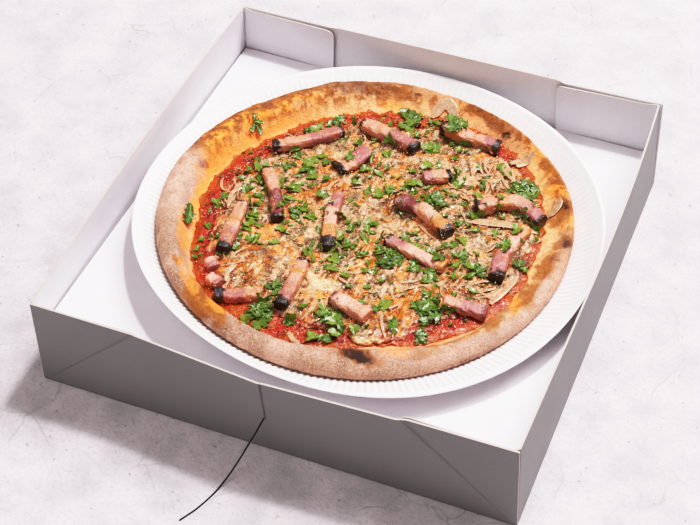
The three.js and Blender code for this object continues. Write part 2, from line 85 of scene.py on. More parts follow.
# ---------- Pull cord ----------
# A thin black twisted cord that comes out of the foot of the slit in the front wall. It hangs down
# to the table and lies along it, and its end is cut bare.

DAYLIGHT = 1.55  # the light level of a white thing that faces the light
TRAY_SHIFT = 3.95  # the tray's own middle lies this far behind the origin; all sizes in millimetres
CORD_DIAMETER = 1.0
CORD_ROUTE = [
    (-0.5, -161.7, 36.2),
    (-1.1, -164.0, 34.9),
    (-3.1, -168.6, 29.5),
    (-4.6, -170.6, 26.1),
    (-6.2, -172.7, 22.5),
    (-9.3, -177.3, 15.0),
    (-10.8, -179.6, 11.6),
    (-12.2, -182.0, 8.6),
    (-14.7, -187.2, 4.0),
    (-16.8, -193.0, 1.4),
    (-18.8, -200.2, 0.6),
    (-21.2, -207.6, 0.5),
    (-22.5, -211.0, 0.5),
    (-23.9, -214.4, 0.5),
    (-26.6, -219.6, 0.5),
    (-29.5, -224.9, 0.5),
]


def in_tray(points):
    """Places in the tray's own millimetres, as metres in the frame."""
    return (np.asarray(points, float) + (0, TRAY_SHIFT, 0)) / 1000


def seen(red, green, blue):
    """The colour of a thing that shows as this one, each part from 0 to 255, where the light is full."""
    parts = np.array([red, green, blue]) / 255
    linear = np.where(parts <= 0.04045, parts / 12.92, ((parts + 0.055) / 1.055) ** 2.4)
    level, shown = zip(*TONES)
    return np.append(np.interp(linear, shown, level) / DAYLIGHT, 1.0)


def feed(tree, socket, value):
    """Gives a node's socket its value, or links it to another node."""
    if isinstance(value, bpy.types.NodeSocket):
        tree.links.new(value, socket)
    else:
        socket.default_value = value


def add_node(tree, kind, inputs=(), **settings):
    made = tree.nodes.new(kind)
    for name, value in settings.items():
        setattr(made, name, value)
    for name, value in dict(inputs).items():
        feed(tree, made.inputs[name], value)
    return made


class Finish:
    """A surface finish that is built up node by node, on the piece's own places and attributes."""

    def __init__(self, name, roughness=0.5):
        self.material = bpy.data.materials.new(name)
        self.material.use_nodes = True
        self.tree = self.material.node_tree
        self.shader = self.tree.nodes["Principled BSDF"]
        self.place = self.node("ShaderNodeTexCoord").outputs["Object"]
        self.set("Roughness", roughness)

    def node(self, kind, inputs=(), **settings):
        return add_node(self.tree, kind, inputs, **settings)

    def set(self, socket, value):
        feed(self.tree, self.shader.inputs[socket], value)

    def gloss(self, weight, roughness):
        """A wet or oily film over the surface."""
        self.set("Coat Weight", weight)
        self.set("Coat Roughness", roughness)

    def attribute(self, name):
        return self.node("ShaderNodeAttribute", attribute_name=name).outputs["Fac"]

    def tint(self, name):
        return self.node("ShaderNodeAttribute", attribute_name=name).outputs["Color"]

    def noise(self, size, detail=3.0, roughness=0.55, place=None):
        """Cloudy values from 0 to 1, in clouds of a size in millimetres."""
        inputs = {"Scale": 1000 / size, "Detail": detail, "Roughness": roughness}
        inputs["Vector"] = self.place if place is None else place
        return self.node("ShaderNodeTexNoise", inputs).outputs["Fac"]

    def stretched(self, x, y, z):
        inputs = {"Vector": self.place, "Scale": (x, y, z)}
        return self.node("ShaderNodeMapping", inputs).outputs["Vector"]

    def between(self, value, low, high, start=0.0, end=1.0):
        """The value's rise from low to high, as start to end."""
        inputs = {"Value": value, "From Min": low, "From Max": high, "To Min": start, "To Max": end}
        return self.node("ShaderNodeMapRange", inputs).outputs["Result"]

    def sum(self, first, second, operation="ADD"):
        return self.node("ShaderNodeMath", {0: first, 1: second}, operation=operation).outputs[0]

    def times(self, first, second):
        return self.sum(first, second, "MULTIPLY")

    def mix(self, share, first, second, blend_type="MIX"):
        inputs = {0: share, 6: first, 7: second}
        return self.node("ShaderNodeMix", inputs, data_type="RGBA", blend_type=blend_type).outputs[2]

    def speckle(self, under, value, low, high, most, colour, blend_type="MIX"):
        """Lays a colour over another where a value rises from low to high, up to a share."""
        return self.mix(self.between(value, low, high, 0, most), under, colour, blend_type)

    def shade(self, attribute, colour):
        """Lays a colour over the base colour by an attribute's share."""
        before = self.shader.inputs["Base Color"].links[0].from_socket
        self.set("Base Color", self.mix(self.attribute(attribute), before, colour))

    def relief(self, height, depth, strength=1.0):
        """Raises the surface by up to a depth in millimetres, on top of any relief before it."""
        before = self.shader.inputs["Normal"].links
        inputs = {"Height": height, "Distance": depth / 1000, "Strength": strength}
        if before:
            inputs["Normal"] = before[0].from_socket
        self.set("Normal", self.node("ShaderNodeBump", inputs).outputs["Normal"])


cord = Finish("black twisted cord", 0.7)
twisted = cord.mix(cord.noise(0.5), seen(12, 11, 11), seen(30, 28, 28))
cord.set("Base Color", twisted)
cord.relief(cord.noise(0.4), 0.2)

cord_curve = bpy.data.curves.new("draw_cord", "CURVE")
cord_curve.dimensions = "3D"
cord_curve.resolution_u = 8
cord_curve.bevel_depth = CORD_DIAMETER / 2000
cord_curve.bevel_resolution = 3
cord_curve.use_fill_caps = True
cord_line = cord_curve.splines.new("BEZIER")
cord_line.bezier_points.add(len(CORD_ROUTE) - 1)
for knot, place in zip(cord_line.bezier_points, in_tray(CORD_ROUTE)):
    knot.co = place
    knot.handle_left_type = knot.handle_right_type = "AUTO"
cord_curve.materials.append(cord.material)
draw_cord = add_object("draw_cord", cord_curve)
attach(draw_cord, "root")
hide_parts("pull_cord")

# ---------- Tray ----------
# An open tray of white folding board. The two side walls are folded round the corners, and their
# end flaps are glued inside the front and back walls. The front wall is creased from its lower
# corners and slit at the middle, where the cord has pushed it out.

TRAY_WIDTH = 316
TRAY_DEPTH = 314
TRAY_HEIGHT = 72
BOARD = 1.2
FLAP_LENGTH = 72
FLAP_RADIUS = 6
FLAP_DROP = 1.6  # a flap's top edge is this much below the wall's
FLAP_SPRING = 1.3  # and its free end springs off the wall by this much
SLIT_BOTTOM = 36
SLIT_WIDTH = 0.3
CREASE_TOP = 87  # the creases meet the top edge this far from the middle
SECOND_FOLD = 1.9  # a fainter fold line runs this far outside each crease
CREASE_DENT = 0.25
WALL_END = 156
GLUE_GAP = 0.1
PRESSED = 0.75  # the glued flaps are pressed to this share of the board's thickness
# How far the front wall's outer face leans out at the top: [where along it, how far].
FRONT_LEANS = [(-156, 0.7), (-89, 0.8), (-84, 1.3), (-1, 8.4), (1, 7.9), (84, 4.4), (90, 2.4), (156, 1.6)]
BACK_LEANS = [(-156, -0.5), (-88, -1.2), (-80, 0.0), (0, 0.6), (83, 0.5), (88, -1.4), (140, 0.0), (156, 1.0)]
# A side wall's outer face at the top: at its front and back corners, how far it bows out between
# them, and how far back the bow's middle lies.
SIDE_TOPS = {-1: (156.2, 155.6, 3.9, 0.05), 1: (155.9, 154.1, 3.9, 0.25)}
BOARD_STEP = 2.4  # spacing of the points on the board

card = Finish("white folding board", 0.62)
fibre = card.noise(1.1, 4)
clouds = card.noise(46, 2)
cloudy = card.between(clouds, 0.3, 0.7)
white_side = card.mix(cloudy, seen(242, 240, 242), seen(245, 244, 245))
grey_side = card.mix(cloudy, seen(168, 166, 165), seen(174, 172, 171))
both_sides = card.mix(card.attribute("outside"), white_side, grey_side)
fibrous = card.speckle(both_sides, fibre, 0.35, 0.65, 0.12, seen(204, 202, 202))
cut_fibres = card.mix(card.noise(0.7), seen(240, 234, 228), seen(206, 198, 190))
card.set("Base Color", card.mix(card.attribute("cut_edge"), fibrous, cut_fibres))
# Painted shade in the creases, along the slit and at the folded corners.
card.shade("crease", seen(120, 104, 98))
card.relief(fibre, 0.035)
card.relief(clouds, 0.5)


def finish_piece(name, points, faces, finish, replaced=None, attributes=(), sharp=40):
    """A finished piece of the object: points in metres, faces, and values for each point."""
    mesh = bpy.data.meshes.new(name)
    mesh.from_pydata(np.asarray(points).tolist(), [], faces)
    mesh.polygons.foreach_set("use_smooth", [True] * len(mesh.polygons))
    if sharp:
        mesh.set_sharp_from_angle(angle=math.radians(sharp))
    for label, values in dict(attributes).items():
        values = np.asarray(values, np.float32)
        if values.ndim == 2:
            mesh.attributes.new(label, "FLOAT_COLOR", "POINT").data.foreach_set("color", values.ravel())
        else:
            mesh.attributes.new(label, "FLOAT", "POINT").data.foreach_set("value", values)
    mesh.materials.append(finish.material)
    piece = add_object(name, mesh)
    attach(piece, "root")
    if replaced:
        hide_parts(replaced)


def places(x, y, z):
    """Points from their three coordinates, any of which may be one number for all."""
    return np.stack(np.broadcast_arrays(x, y, z), -1)


def cell_corners(at):
    """The four corners of each cell of a grid, in turn."""
    return at[:-1, :-1], at[:-1, 1:], at[1:, 1:], at[1:, :-1]


class Sheet:
    """Board made up of panels, each a closed slab between two grids of places."""

    def __init__(self):
        self.points, self.faces, self.cut_edge, self.crease, self.outside = [], [], [], [], []

    def panel(self, front, back, kept=None, crease=None, outside=None, cut=None):
        rows, columns = front.shape[:2]
        kept = np.ones((rows - 1, columns - 1), bool) if kept is None else kept
        crease = np.zeros((rows, columns)) if crease is None else crease
        cut = np.ones((rows, columns)) if cut is None else cut
        start = sum(map(len, self.points))
        size = rows * columns
        # The rims are separate points, so that the cut edges keep their own colour.
        for layer, edge in ((front, 0), (back, 0), (front, 1), (back, 1)):
            self.points.append(layer.reshape(-1, 3))
            self.outside.append(np.full(size, float(layer is outside)))
            self.cut_edge.append(cut.ravel() * edge)
            self.crease.append(crease.ravel() * (1 - edge))
        at = start + np.arange(size).reshape(rows, columns)
        a, b, c, d = (corner[kept] for corner in cell_corners(at))
        self.faces += np.stack([a, b, c, d], 1).tolist()
        self.faces += (np.stack([a, d, c, b], 1) + size).tolist()
        filled = np.pad(kept, 1)
        inside = filled[1:-1, 1:-1]
        rim = at + 2 * size
        sides = [
            (inside & ~filled[:-2, 1:-1], rim[:-1, :-1], rim[:-1, 1:]),
            (inside & ~filled[1:-1, 2:], rim[:-1, 1:], rim[1:, 1:]),
            (inside & ~filled[2:, 1:-1], rim[1:, 1:], rim[1:, :-1]),
            (inside & ~filled[1:-1, :-2], rim[1:, :-1], rim[:-1, :-1]),
        ]
        for edge, first, last in sides:
            first, last = first[edge], last[edge]
            self.faces += np.stack([last, first, first + size, last + size], 1).tolist()

    def piece(self, name, replaced, edges=1.0):
        """All the panels as one finished piece, with its cut edges shown this strongly."""
        shades = {
            "cut_edge": np.concatenate(self.cut_edge) * edges,
            "crease": np.concatenate(self.crease),
            "outside": np.concatenate(self.outside),
        }
        points = in_tray(np.concatenate(self.points))
        finish_piece(name, points, self.faces, card, replaced, shades)


def stations(start, end, step, extra=()):
    """Evenly spaced values from start to end, with any extra ones put in their order."""
    count = max(2, math.ceil(abs(end - start) / step) + 1)
    return np.unique(np.concatenate([np.linspace(start, end, count), extra]))


def front_or_back(end, leans, splits):
    """The outer face of the front wall (end -1) or the back wall (end 1), the inner face, and how
    near each point is to a crease."""
    by_crease = np.array([-1.2, -0.6, -0.3, 0, 0.3, 0.6, 1.2, 1.6, SECOND_FOLD, 2.2, 2.8])
    extra = [*splits, *(CREASE_TOP + by_crease), *(-CREASE_TOP - by_crease)]
    along = stations(-WALL_END, WALL_END, BOARD_STEP, extra)
    up = stations(0, TRAY_HEIGHT, BOARD_STEP, (0.35, 1.0, SLIT_BOTTOM))
    place, z = np.meshgrid(along, up)
    row = z / TRAY_HEIGHT
    where, lean = zip(*leans)
    # The creases run down and out to the lower corners, and the points' columns with them.
    edge = TRAY_WIDTH / 2 - 2 * row
    crease = TRAY_WIDTH / 2 - 1 - (FLAP_LENGTH - 1) * row
    beyond = crease + (np.abs(place) - CREASE_TOP) / (WALL_END - CREASE_TOP) * (edge - crease)
    x = np.where(np.abs(place) < CREASE_TOP, place / CREASE_TOP * crease, np.sign(place) * beyond)
    out = np.interp(place, where, lean) * row
    tucked = np.clip(1 - z, 0, 1) ** 2
    outer = places(x, end * (TRAY_DEPTH / 2 + out - tucked), z)
    inner = places(x, end * (TRAY_DEPTH / 2 + out - BOARD), np.maximum(z, 0.2))
    first = np.exp(-(((np.abs(place) - CREASE_TOP) / 0.3) ** 2))
    second = 0.5 * np.exp(-(((np.abs(place) - CREASE_TOP - SECOND_FOLD) / 0.25) ** 2))
    return outer, inner, np.maximum(first, second) * (row > 0.04)


board = Sheet()

slit_sides = [side * gap for side in (-1, 1) for gap in (SLIT_WIDTH / 2, 0.55, 0.8)]
outer, inner, fold = front_or_back(-1, FRONT_LEANS, slit_sides)
middle = np.maximum(abs(outer[:-1, :-1, 0]), abs(outer[:-1, 1:, 0])) < SLIT_WIDTH
by_slit = (abs(outer[..., 0]) < SLIT_WIDTH) & (outer[..., 2] < TRAY_HEIGHT)
uncut = ~(middle & (outer[:-1, :-1, 2] >= SLIT_BOTTOM - 0.1))
outer[..., 1] += CREASE_DENT * fold * np.clip(outer[..., 2] / 20, 0, 1)
# Shade is painted along the slit and the creases, and the slit's cut edges are left without their cream
# colour, as they lie in shade.
slit_and_crease_shade = np.clip((0.8 - abs(outer[..., 0])) / 0.25, 0, 1) * (outer[..., 2] >= SLIT_BOTTOM - 0.1)
slit_and_crease_shade = np.maximum(0.6 * fold, slit_and_crease_shade)
board.panel(outer, inner, kept=uncut, crease=slit_and_crease_shade, outside=outer, cut=1.0 - by_slit)
outer, inner, fold = front_or_back(1, BACK_LEANS, ())
# The back wall's creases get a fainter painted shade.
board.panel(inner, outer, crease=0.2 * fold, outside=outer)


def side_wall(side):
    """One side wall with its two end flaps: a single strip of board, bent round both corners."""
    front_corner, back_corner, bow, skew = SIDE_TOPS[side]
    half_depth = TRAY_DEPTH / 2 - BOARD - GLUE_GAP
    wall = stations(-half_depth, half_depth, BOARD_STEP)
    by_round_corner = FLAP_LENGTH - FLAP_RADIUS * np.array([0.03, 0.13, 0.3, 0.55, 0.8])
    flap = stations(0, FLAP_LENGTH, BOARD_STEP, by_round_corner)
    flap = flap[flap > 1.5]
    outer, inner, crease = [], [], []
    for share in np.linspace(0, 1, 31):
        z = share * TRAY_HEIGHT
        along = wall / half_depth
        top = front_corner + (back_corner - front_corner) * (along + 1) / 2
        top = top + bow * np.cos(np.pi / 2 * (along - skew * (1 - along**2)))
        x = (TRAY_WIDTH / 2) * (1 - share) + top * share
        # A flap lies inside its wall, springs off at its free end, and has a rounded top corner.
        left = np.clip(FLAP_LENGTH - flap, 0, FLAP_RADIUS)
        rounding = FLAP_RADIUS - np.sqrt(FLAP_RADIUS**2 - (FLAP_RADIUS - left) ** 2)
        flap_top = TRAY_HEIGHT - FLAP_DROP * np.clip(flap / 8, 0, 1) - rounding
        spring = FLAP_SPRING * (flap / FLAP_LENGTH) ** 2
        for end in (-1, 1):
            leans = FRONT_LEANS if end < 0 else BACK_LEANS
            where, lean = zip(*leans)
            corner = x[0] if end < 0 else x[-1]
            flap_x = corner - flap
            out = np.interp(side * np.clip(flap_x, 0, WALL_END), where, lean) * share
            flap_y = end * (half_depth + np.clip(out, -2, 1.5) - spring)
            piece = places(flap_x, flap_y, share * flap_top)
            depth = places(0 * flap, -end * BOARD * PRESSED, 0)
            if end < 0:
                first, first_depth = piece[::-1], depth[::-1]
            else:
                last, last_depth = piece, depth
        body = places(x, wall, z)
        body_depth = places(0 * wall - BOARD, 0, 0)
        body_depth[0] = (-BOARD * 0.8, BOARD * 0.8, 0)
        body_depth[-1] = (-BOARD * 0.8, -BOARD * 0.8, 0)
        line = np.concatenate([first, body, last])
        thick = np.concatenate([first_depth, body_depth, last_depth])
        outer.append(line)
        inner.append(line + thick)
        # Shade is painted at the two folded corners.
        at_corner = np.zeros(len(line))
        at_corner[[len(first), len(first) + len(wall) - 1]] = 0.35
        crease.append(at_corner)
    outer, inner, crease = (np.array(layer, float) for layer in (outer, inner, crease))
    for layer in (outer, inner):
        layer[..., 0] *= side
    faces = (outer, inner) if side > 0 else (inner, outer)
    board.panel(*faces, crease=crease, outside=outer)


for side in (-1, 1):
    side_wall(side)

spread = np.linspace(-1, 1, 9)
x, y = np.meshgrid(spread * (TRAY_WIDTH / 2 - BOARD), spread * (TRAY_DEPTH / 2 - BOARD))
base_top = places(x, y, BOARD)
board.panel(base_top, base_top * (1, 1, 0))
board.piece("folded_tray", "tray")

# ---------- Raised floor ----------
# A sheet of the same board with its four edges folded down, set into the tray to lift the plate.
# It stands a little higher at the front and at the left.

RAISED_FLOOR = 37.6
FLOOR_SLOPE_X = 0.02
FLOOR_SLOPE_Y = 0.032
RAISED_WIDTH = 309.6
RAISED_DEPTH = 306.4
INSERT_BOARD = 0.8
EDGE_SAG = 0.35
FLOOR_SAG = 0.25
INSERT_EDGES = 0.5  # how strongly its cut edges show


def floor_height(x, y):
    return RAISED_FLOOR - FLOOR_SLOPE_X * x - FLOOR_SLOPE_Y * y


insert = Sheet()
spread = np.linspace(-0.5, 0.5, 81)
x, y = np.meshgrid(spread * RAISED_WIDTH, spread * RAISED_DEPTH)
edge = np.minimum(RAISED_WIDTH / 2 - abs(x), RAISED_DEPTH / 2 - abs(y))
sag = EDGE_SAG * np.clip(1 - edge / 6, 0, 1) ** 2
sag = sag + FLOOR_SAG * (1 + np.sin(x / 31) * np.cos(y / 27)) * np.clip(edge / 30, 0, 1)
top = places(x, y, floor_height(x, y) - sag)
insert.panel(top, top - (0, 0, INSERT_BOARD))
for side in (-1, 1):
    for turned in (False, True):
        length, reach = (RAISED_DEPTH, RAISED_WIDTH) if turned else (RAISED_WIDTH, RAISED_DEPTH)
        along, up = np.meshgrid(np.linspace(-0.5, 0.5, 41) * (length - 2), np.linspace(0, 1, 7))
        off = np.full(along.shape, side * reach / 2)
        x, y = (off, along) if turned else (along, off)
        outer = places(x, y, BOARD + 0.4 + up * (floor_height(x, y) - BOARD - 0.9))
        inward = np.array([-side, 0, 0]) if turned else np.array([0, -side, 0])
        skins = [outer, outer + inward * INSERT_BOARD]
        insert.panel(*(skins if turned == (side > 0) else skins[::-1]))
insert.piece("floor_insert", "raised_floor", INSERT_EDGES)

# ---------- Paper plate ----------
# A round plate pressed out of white paper, with a flat well, a rising rim full of fine flutes and
# a plain lip. The rim is a little warped. It lies loose on the raised floor.

GAP = 0.35
PLATE_X = 2.5
PLATE_Y = -0.3
PLATE_RADIUS = 152.4
PLATE_WELL = 112
PLATE_RISE = 21.3
PLATE_CURVE = 1.6
PAPER = 0.8
# Its warp: how many waves there are round it, and how much of each by cosine and by sine.
PLATE_WARP = [(2, -0.85, 3.6), (3, 2.6, 1.4)]
FLUTES = 210
FLUTE_HEIGHT = 0.36
FLUTE_START = 113
FLUTE_END = 147.5
LIP_DROP = 0.5
GROOVE = 0.35

tilt_back = Matrix.Rotation(-math.atan(FLOOR_SLOPE_Y), 4, "X")
tilt_right = Matrix.Rotation(math.atan(FLOOR_SLOPE_X), 4, "Y")
floor_turn = np.array((tilt_back @ tilt_right).to_3x3())


def on_floor(points):
    """Places over the raised floor, in millimetres with its slope taken out, as metres in the frame."""
    return in_tray(np.asarray(points, float) @ floor_turn.T + (0, 0, RAISED_FLOOR + GAP))


def lay_piece(name, points, faces, finish, replaced, attributes):
    """A finished piece that lies over the raised floor, smooth all over."""
    finish_piece(name, on_floor(points), faces, finish, replaced, attributes, sharp=0)


def all_round(count):
    """Evenly spaced angles, anticlockwise from the right."""
    return np.arange(count) * 2 * np.pi / count


def wave(terms, angle):
    return sum(c * np.cos(n * angle) + s * np.sin(n * angle) for n, c, s in terms)


def plate_top(x, y):
    """The height of the plate's upper side over the raised floor."""
    angle = np.arctan2(y - PLATE_Y, x - PLATE_X)
    distance = np.hypot(x - PLATE_X, y - PLATE_Y)
    out = np.maximum(0, (distance - PLATE_WELL) / (PLATE_RADIUS - PLATE_WELL))
    return PAPER + PLATE_RISE * out**PLATE_CURVE + wave(PLATE_WARP, angle) * out**2


def closed_skin(first_pole, rings, last_pole):
    """Points and faces of a closed skin over rings of equal count, with a pole at each end. The
    rings run anticlockwise about the way from the first pole to the last."""
    count = rings.shape[1]
    points = np.concatenate([[first_pole], rings.reshape(-1, 3), [last_pole]])
    at = 1 + np.arange(rings.shape[0] * count).reshape(-1, count)
    after = np.roll(at, -1, axis=1)
    quads = np.stack([at[:-1], after[:-1], after[1:], at[1:]], -1).reshape(-1, 4).tolist()
    start = np.stack([np.zeros(count, int), after[0], at[0]], -1).tolist()
    end = np.stack([np.full(count, len(points) - 1), at[-1], after[-1]], -1).tolist()
    return points, quads + start + end


def smooth_step(value, low, high):
    share = np.clip((value - low) / (high - low), 0, 1)
    return share * share * (3 - 2 * share)


def toward(angle, way, low, high):
    """Rises to 1 for angles near a way, both in radians from the right."""
    return smooth_step(np.cos(angle - way), low, high)


paper = Finish("pressed white paper", 0.6)
pulp = paper.noise(1.3, 4)
pulpy = paper.mix(paper.between(pulp, 0.3, 0.7), seen(243, 242, 242), seen(248, 247, 247))
paper.set("Base Color", pulpy)
# Painted shade in the flutes' valleys.
paper.shade("valley", seen(196, 188, 185))
paper.relief(pulp, 0.03)

angle = all_round(FLUTES * 6)
top_radii = [15, 50, 90, 106, 110, *np.linspace(PLATE_WELL, PLATE_RADIUS, 22)]
low_radii = [15, 50, 90, 106, *np.linspace(PLATE_WELL, PLATE_RADIUS - 0.1, 15)]


def fluted(radius):
    rise = smooth_step(radius, FLUTE_START, FLUTE_START + 5)
    return rise * smooth_step(radius, FLUTE_END, FLUTE_END - 3)


def plate_ring(radius, lift):
    x = PLATE_X + radius * np.cos(angle)
    y = PLATE_Y + radius * np.sin(angle)
    lip = LIP_DROP * smooth_step(radius, PLATE_RADIUS - 2, PLATE_RADIUS)
    groove = GROOVE * math.exp(-((radius - FLUTE_END - 0.6) ** 2) / 0.8)
    ridges = FLUTE_HEIGHT * fluted(radius) * np.cos(FLUTES * angle)
    return places(x, y, plate_top(x, y) + ridges - lip - groove + lift)


rings = [plate_ring(radius, -PAPER) for radius in low_radii]
rings += [plate_ring(radius, 0) for radius in top_radii[::-1]]
points, faces = closed_skin((PLATE_X, PLATE_Y, 0), np.array(rings), (PLATE_X, PLATE_Y, PAPER))
out = np.hypot(points[:, 0] - PLATE_X, points[:, 1] - PLATE_Y)
around = np.arctan2(points[:, 1] - PLATE_Y, points[:, 0] - PLATE_X)
# The flutes' valleys are painted with shade, darkest in front and at the left, where the light falls along
# them.
valley = (0.5 - 0.5 * np.cos(FLUTES * around)) * fluted(out)
valley = valley * (0.12 + 0.28 * toward(around, -2.0, -0.3, 0.6))
lay_piece("paper_plate", points, faces, paper, "plate", {"valley": valley})

# ---------- Crust ----------
# Wheat dough, stretched by hand and baked on stone: flat under the sauce, and risen to a soft rim
# round it. The rim is pale and floury in front, golden behind, and burnt on its highest blisters.

PIZZA_X = 0.25
PIZZA_Y = 2.75
PIZZA_RADIUS = 135.4
PIZZA_WOBBLE = [(1, -1.3, -0.4), (2, -0.6, 1.5), (3, 0.0, 0.4), (4, 0.3, 0.1), (5, -0.4, 0.1)]
RIM_GAP = 0.7
DOUGH_TOP = 7.4
RIM_WIDTH = 21
RIM_RISE = 10.4
RIM_WAIST = 3.4
RIM_CREST = 0.55  # how far out over the rim its crest lies, as a share of its width
# At the right and behind, the rim is this much lower, its crest further out and its slope evener.
RIGHT_LOWER = 0.28
RIGHT_OUTWARD = 0.3
RIGHT_EVEN = 0.6
CRUST_COLUMNS = 900
# The foot is rounded: how far in and how high each ring of it lies, and how far it sinks at most.
RIM_FOOT = [(1.3, 0.0), (0.7, 0.3), (0.3, 0.9), (0.1, 1.8), (0.0, 2.6)]
FOOT_SINK = 0.25
CRAGGY_FOOT = (99, -82, 24, 8, 0.85)  # at the front right the foot is craggy and singed
CHEESE_LEVEL = 9
CREST_LIFT = 6  # behind the crest the patches are placed as on a crest this much over the cheese
# How far a place that is 1 mm higher seems to be shifted, as it shows from the front.
SHIFT_RIGHT = 0.373
SHIFT_BACK = 0.88
# How far out the rim's inner edge and the cheese lie, in even steps round from the right.
DOUGH_EDGE = [110, 115, 121, 123, 116, 112, 107, 107, 110, 110, 118, 117, 115, 106, 111, 112]
CHEESE_EDGE = [103, 108, 115, 112, 104, 101, 93, 97, 97, 101, 106, 105, 99, 98, 98, 102]

FLOURY = seen(215, 178, 149)
FLOUR_PALE = seen(242, 220, 202)
FLOUR_DULL = seen(186, 144, 118)
BAKED = seen(216, 164, 112)
GOLDEN = seen(255, 206, 78)
AMBER = seen(204, 120, 42)
BROWN = seen(146, 80, 40)
TOASTED = seen(180, 124, 92)
CHAR = seen(62, 32, 22)
STAIN = seen(226, 96, 30)
OILED = seen(255, 204, 90)
CREAM = seen(248, 220, 174)
PALE_CREAM = seen(253, 236, 186)

# Patches on the rim: a colour, its middle, its half length and half width, its turn and how full.
RIM_PATCHES = [
    (GOLDEN, -110, 62, 30, 18, 1.05, 1.0),
    (GOLDEN, -88, 96, 20, 13, 0.6, 0.9),
    (GOLDEN, -118, 22, 10, 22, 0.0, 0.8),
    (CREAM, -113, 50, 6, 12, 0.1, 0.5),
    (CREAM, -84, 95, 10, 7, 0.6, 0.7),
    (PALE_CREAM, -66, 106, 12, 5, 0.45, 0.8),
    (PALE_CREAM, -101, 66, 4, 12, -0.6, 0.7),
    (BROWN, -133, 25, 4, 20, -0.1, 0.5),
    (BROWN, -127, 60, 4, 18, -0.35, 0.6),
    (AMBER, -118, 80, 9, 12, -0.5, 0.6),
    (BROWN, -104, 94, 6, 14, -0.7, 0.75),
    (BROWN, -88, 112, 4, 12, -0.9, 0.7),
    (CHAR, -122, 13, 4, 4.5, 0.2, 0.85),
    (BROWN, -104, 84, 6, 3, 0.3, 0.85),
    (BROWN, -98, 101, 4, 3, 0.3, 0.7),
    (FLOUR_DULL, -52, 129, 30, 8, 0.35, 0.75),
    (TOASTED, -62, 130, 18, 5, 0.4, 0.6),
    (CREAM, -40, 122, 16, 5, 0.3, 0.7),
    (BROWN, -50, 130, 3, 2, 0.4, 0.8),
    (BROWN, -33, 137, 6, 2.5, 0.2, 0.8),
    (BROWN, -22, 131, 4, 2, 0.1, 0.6),
    (BROWN, -68, 125, 3, 2.5, 0.6, 0.8),
    (BROWN, -56, 133, 6, 3, 0.5, 0.8),
    (BROWN, -44, 137, 5, 2.5, 0.3, 0.8),
    (AMBER, -30, 132, 18, 8, 0.2, 0.6),
    (GOLDEN, -25, 121, 14, 5, 0.1, 0.6),
    (CHAR, -14, 138, 3, 1.5, 0.0, 0.8),
    (CREAM, 12, 128, 12, 8, -0.2, 0.7),
    (AMBER, 32, 138, 16, 6, -0.2, 0.95),
    (BROWN, 28, 139, 6, 3, -0.2, 0.9),
    (CHAR, 38, 134, 2.5, 2, 0.0, 0.85),
    (BROWN, 45, 128, 8, 5, -0.5, 0.7),
    (AMBER, 52, 128, 10, 7, -0.6, 0.7),
    (CHAR, 57, 120, 3.5, 4.5, 0.5, 0.95),
    (CREAM, 66, 113, 10, 5, -0.7, 0.7),
    (AMBER, 77, 121, 10, 5, -0.7, 0.6),
    (BROWN, 73, 123, 4, 3, -0.7, 0.6),
    (AMBER, 98, 98, 14, 6, -0.8, 0.9),
    (BROWN, 105, 88, 7, 6, -0.6, 0.9),
    (CHAR, 105, 88, 3.5, 4, -0.6, 0.75),
    (GOLDEN, 106, 80, 8, 8, -0.8, 0.8),
    (BROWN, 115, 68, 8, 7, 0.0, 0.8),
    (CHAR, 114, 66, 6.5, 5.5, 0.0, 1.0),
    (AMBER, 114, 54, 7, 10, 0.0, 0.8),
    (PALE_CREAM, 108, 46, 4, 7, 0.0, 0.6),
    (BROWN, 125, 34, 5, 8, 0.1, 0.95),
    (CHAR, 125, 34, 3.5, 5, 0.1, 0.85),
    (CREAM, 112, 22, 5, 9, 0.0, 0.8),
    (AMBER, 120, 8, 6, 16, -0.1, 0.9),
    (BROWN, 123, 18, 3, 6, 0.0, 0.7),
    (AMBER, 117, -22, 6, 12, 0.3, 0.85),
    (GOLDEN, 112, -30, 4, 9, 0.3, 0.7),
    (AMBER, 103, -52, 5, 10, 0.5, 0.6),
    (AMBER, 76, -88, 15, 5, 0.7, 0.8),
    (BROWN, 68, -96, 6, 3, 0.5, 0.5),
    (GOLDEN, 58, -96, 10, 4, 0.3, 0.5),
    (AMBER, 38, -107, 16, 7, -0.05, 0.8),
    (BROWN, 37, -107, 14, 6, -0.05, 1.0),
    (CHAR, 38, -108, 10, 4, -0.1, 1.0),
    (AMBER, -66, -102, 24, 12, -0.5, 1.0),
    (GOLDEN, -58, -100, 10, 6, -0.5, 0.5),
    (BROWN, -72, -97, 6, 4, -0.6, 0.5),
    (BROWN, -55, -116, 12, 3, -0.5, 0.45),
    (AMBER, -97, -76, 8, 2, -0.7, 0.9),
    (AMBER, -38, -109, 2.5, 2.5, 0.0, 0.8),
    (GOLDEN, -106, -50, 3.5, 22, 0.45, 0.7),
    (GOLDEN, -112, -14, 4, 20, 0.15, 0.75),
    (GOLDEN, -84, -88, 18, 3, -0.75, 0.5),
]


def lattice(column, row, seed):
    """A fixed random value from -1 to 1 for each cell."""
    mixed = (column * 374761393 + row * 668265263 + seed * 69069) & 0xFFFFFFFF
    mixed = ((mixed ^ (mixed >> 13)) * 1274126177) & 0xFFFFFFFF
    return ((mixed ^ (mixed >> 16)) & 0xFFFF) / 32767.5 - 1


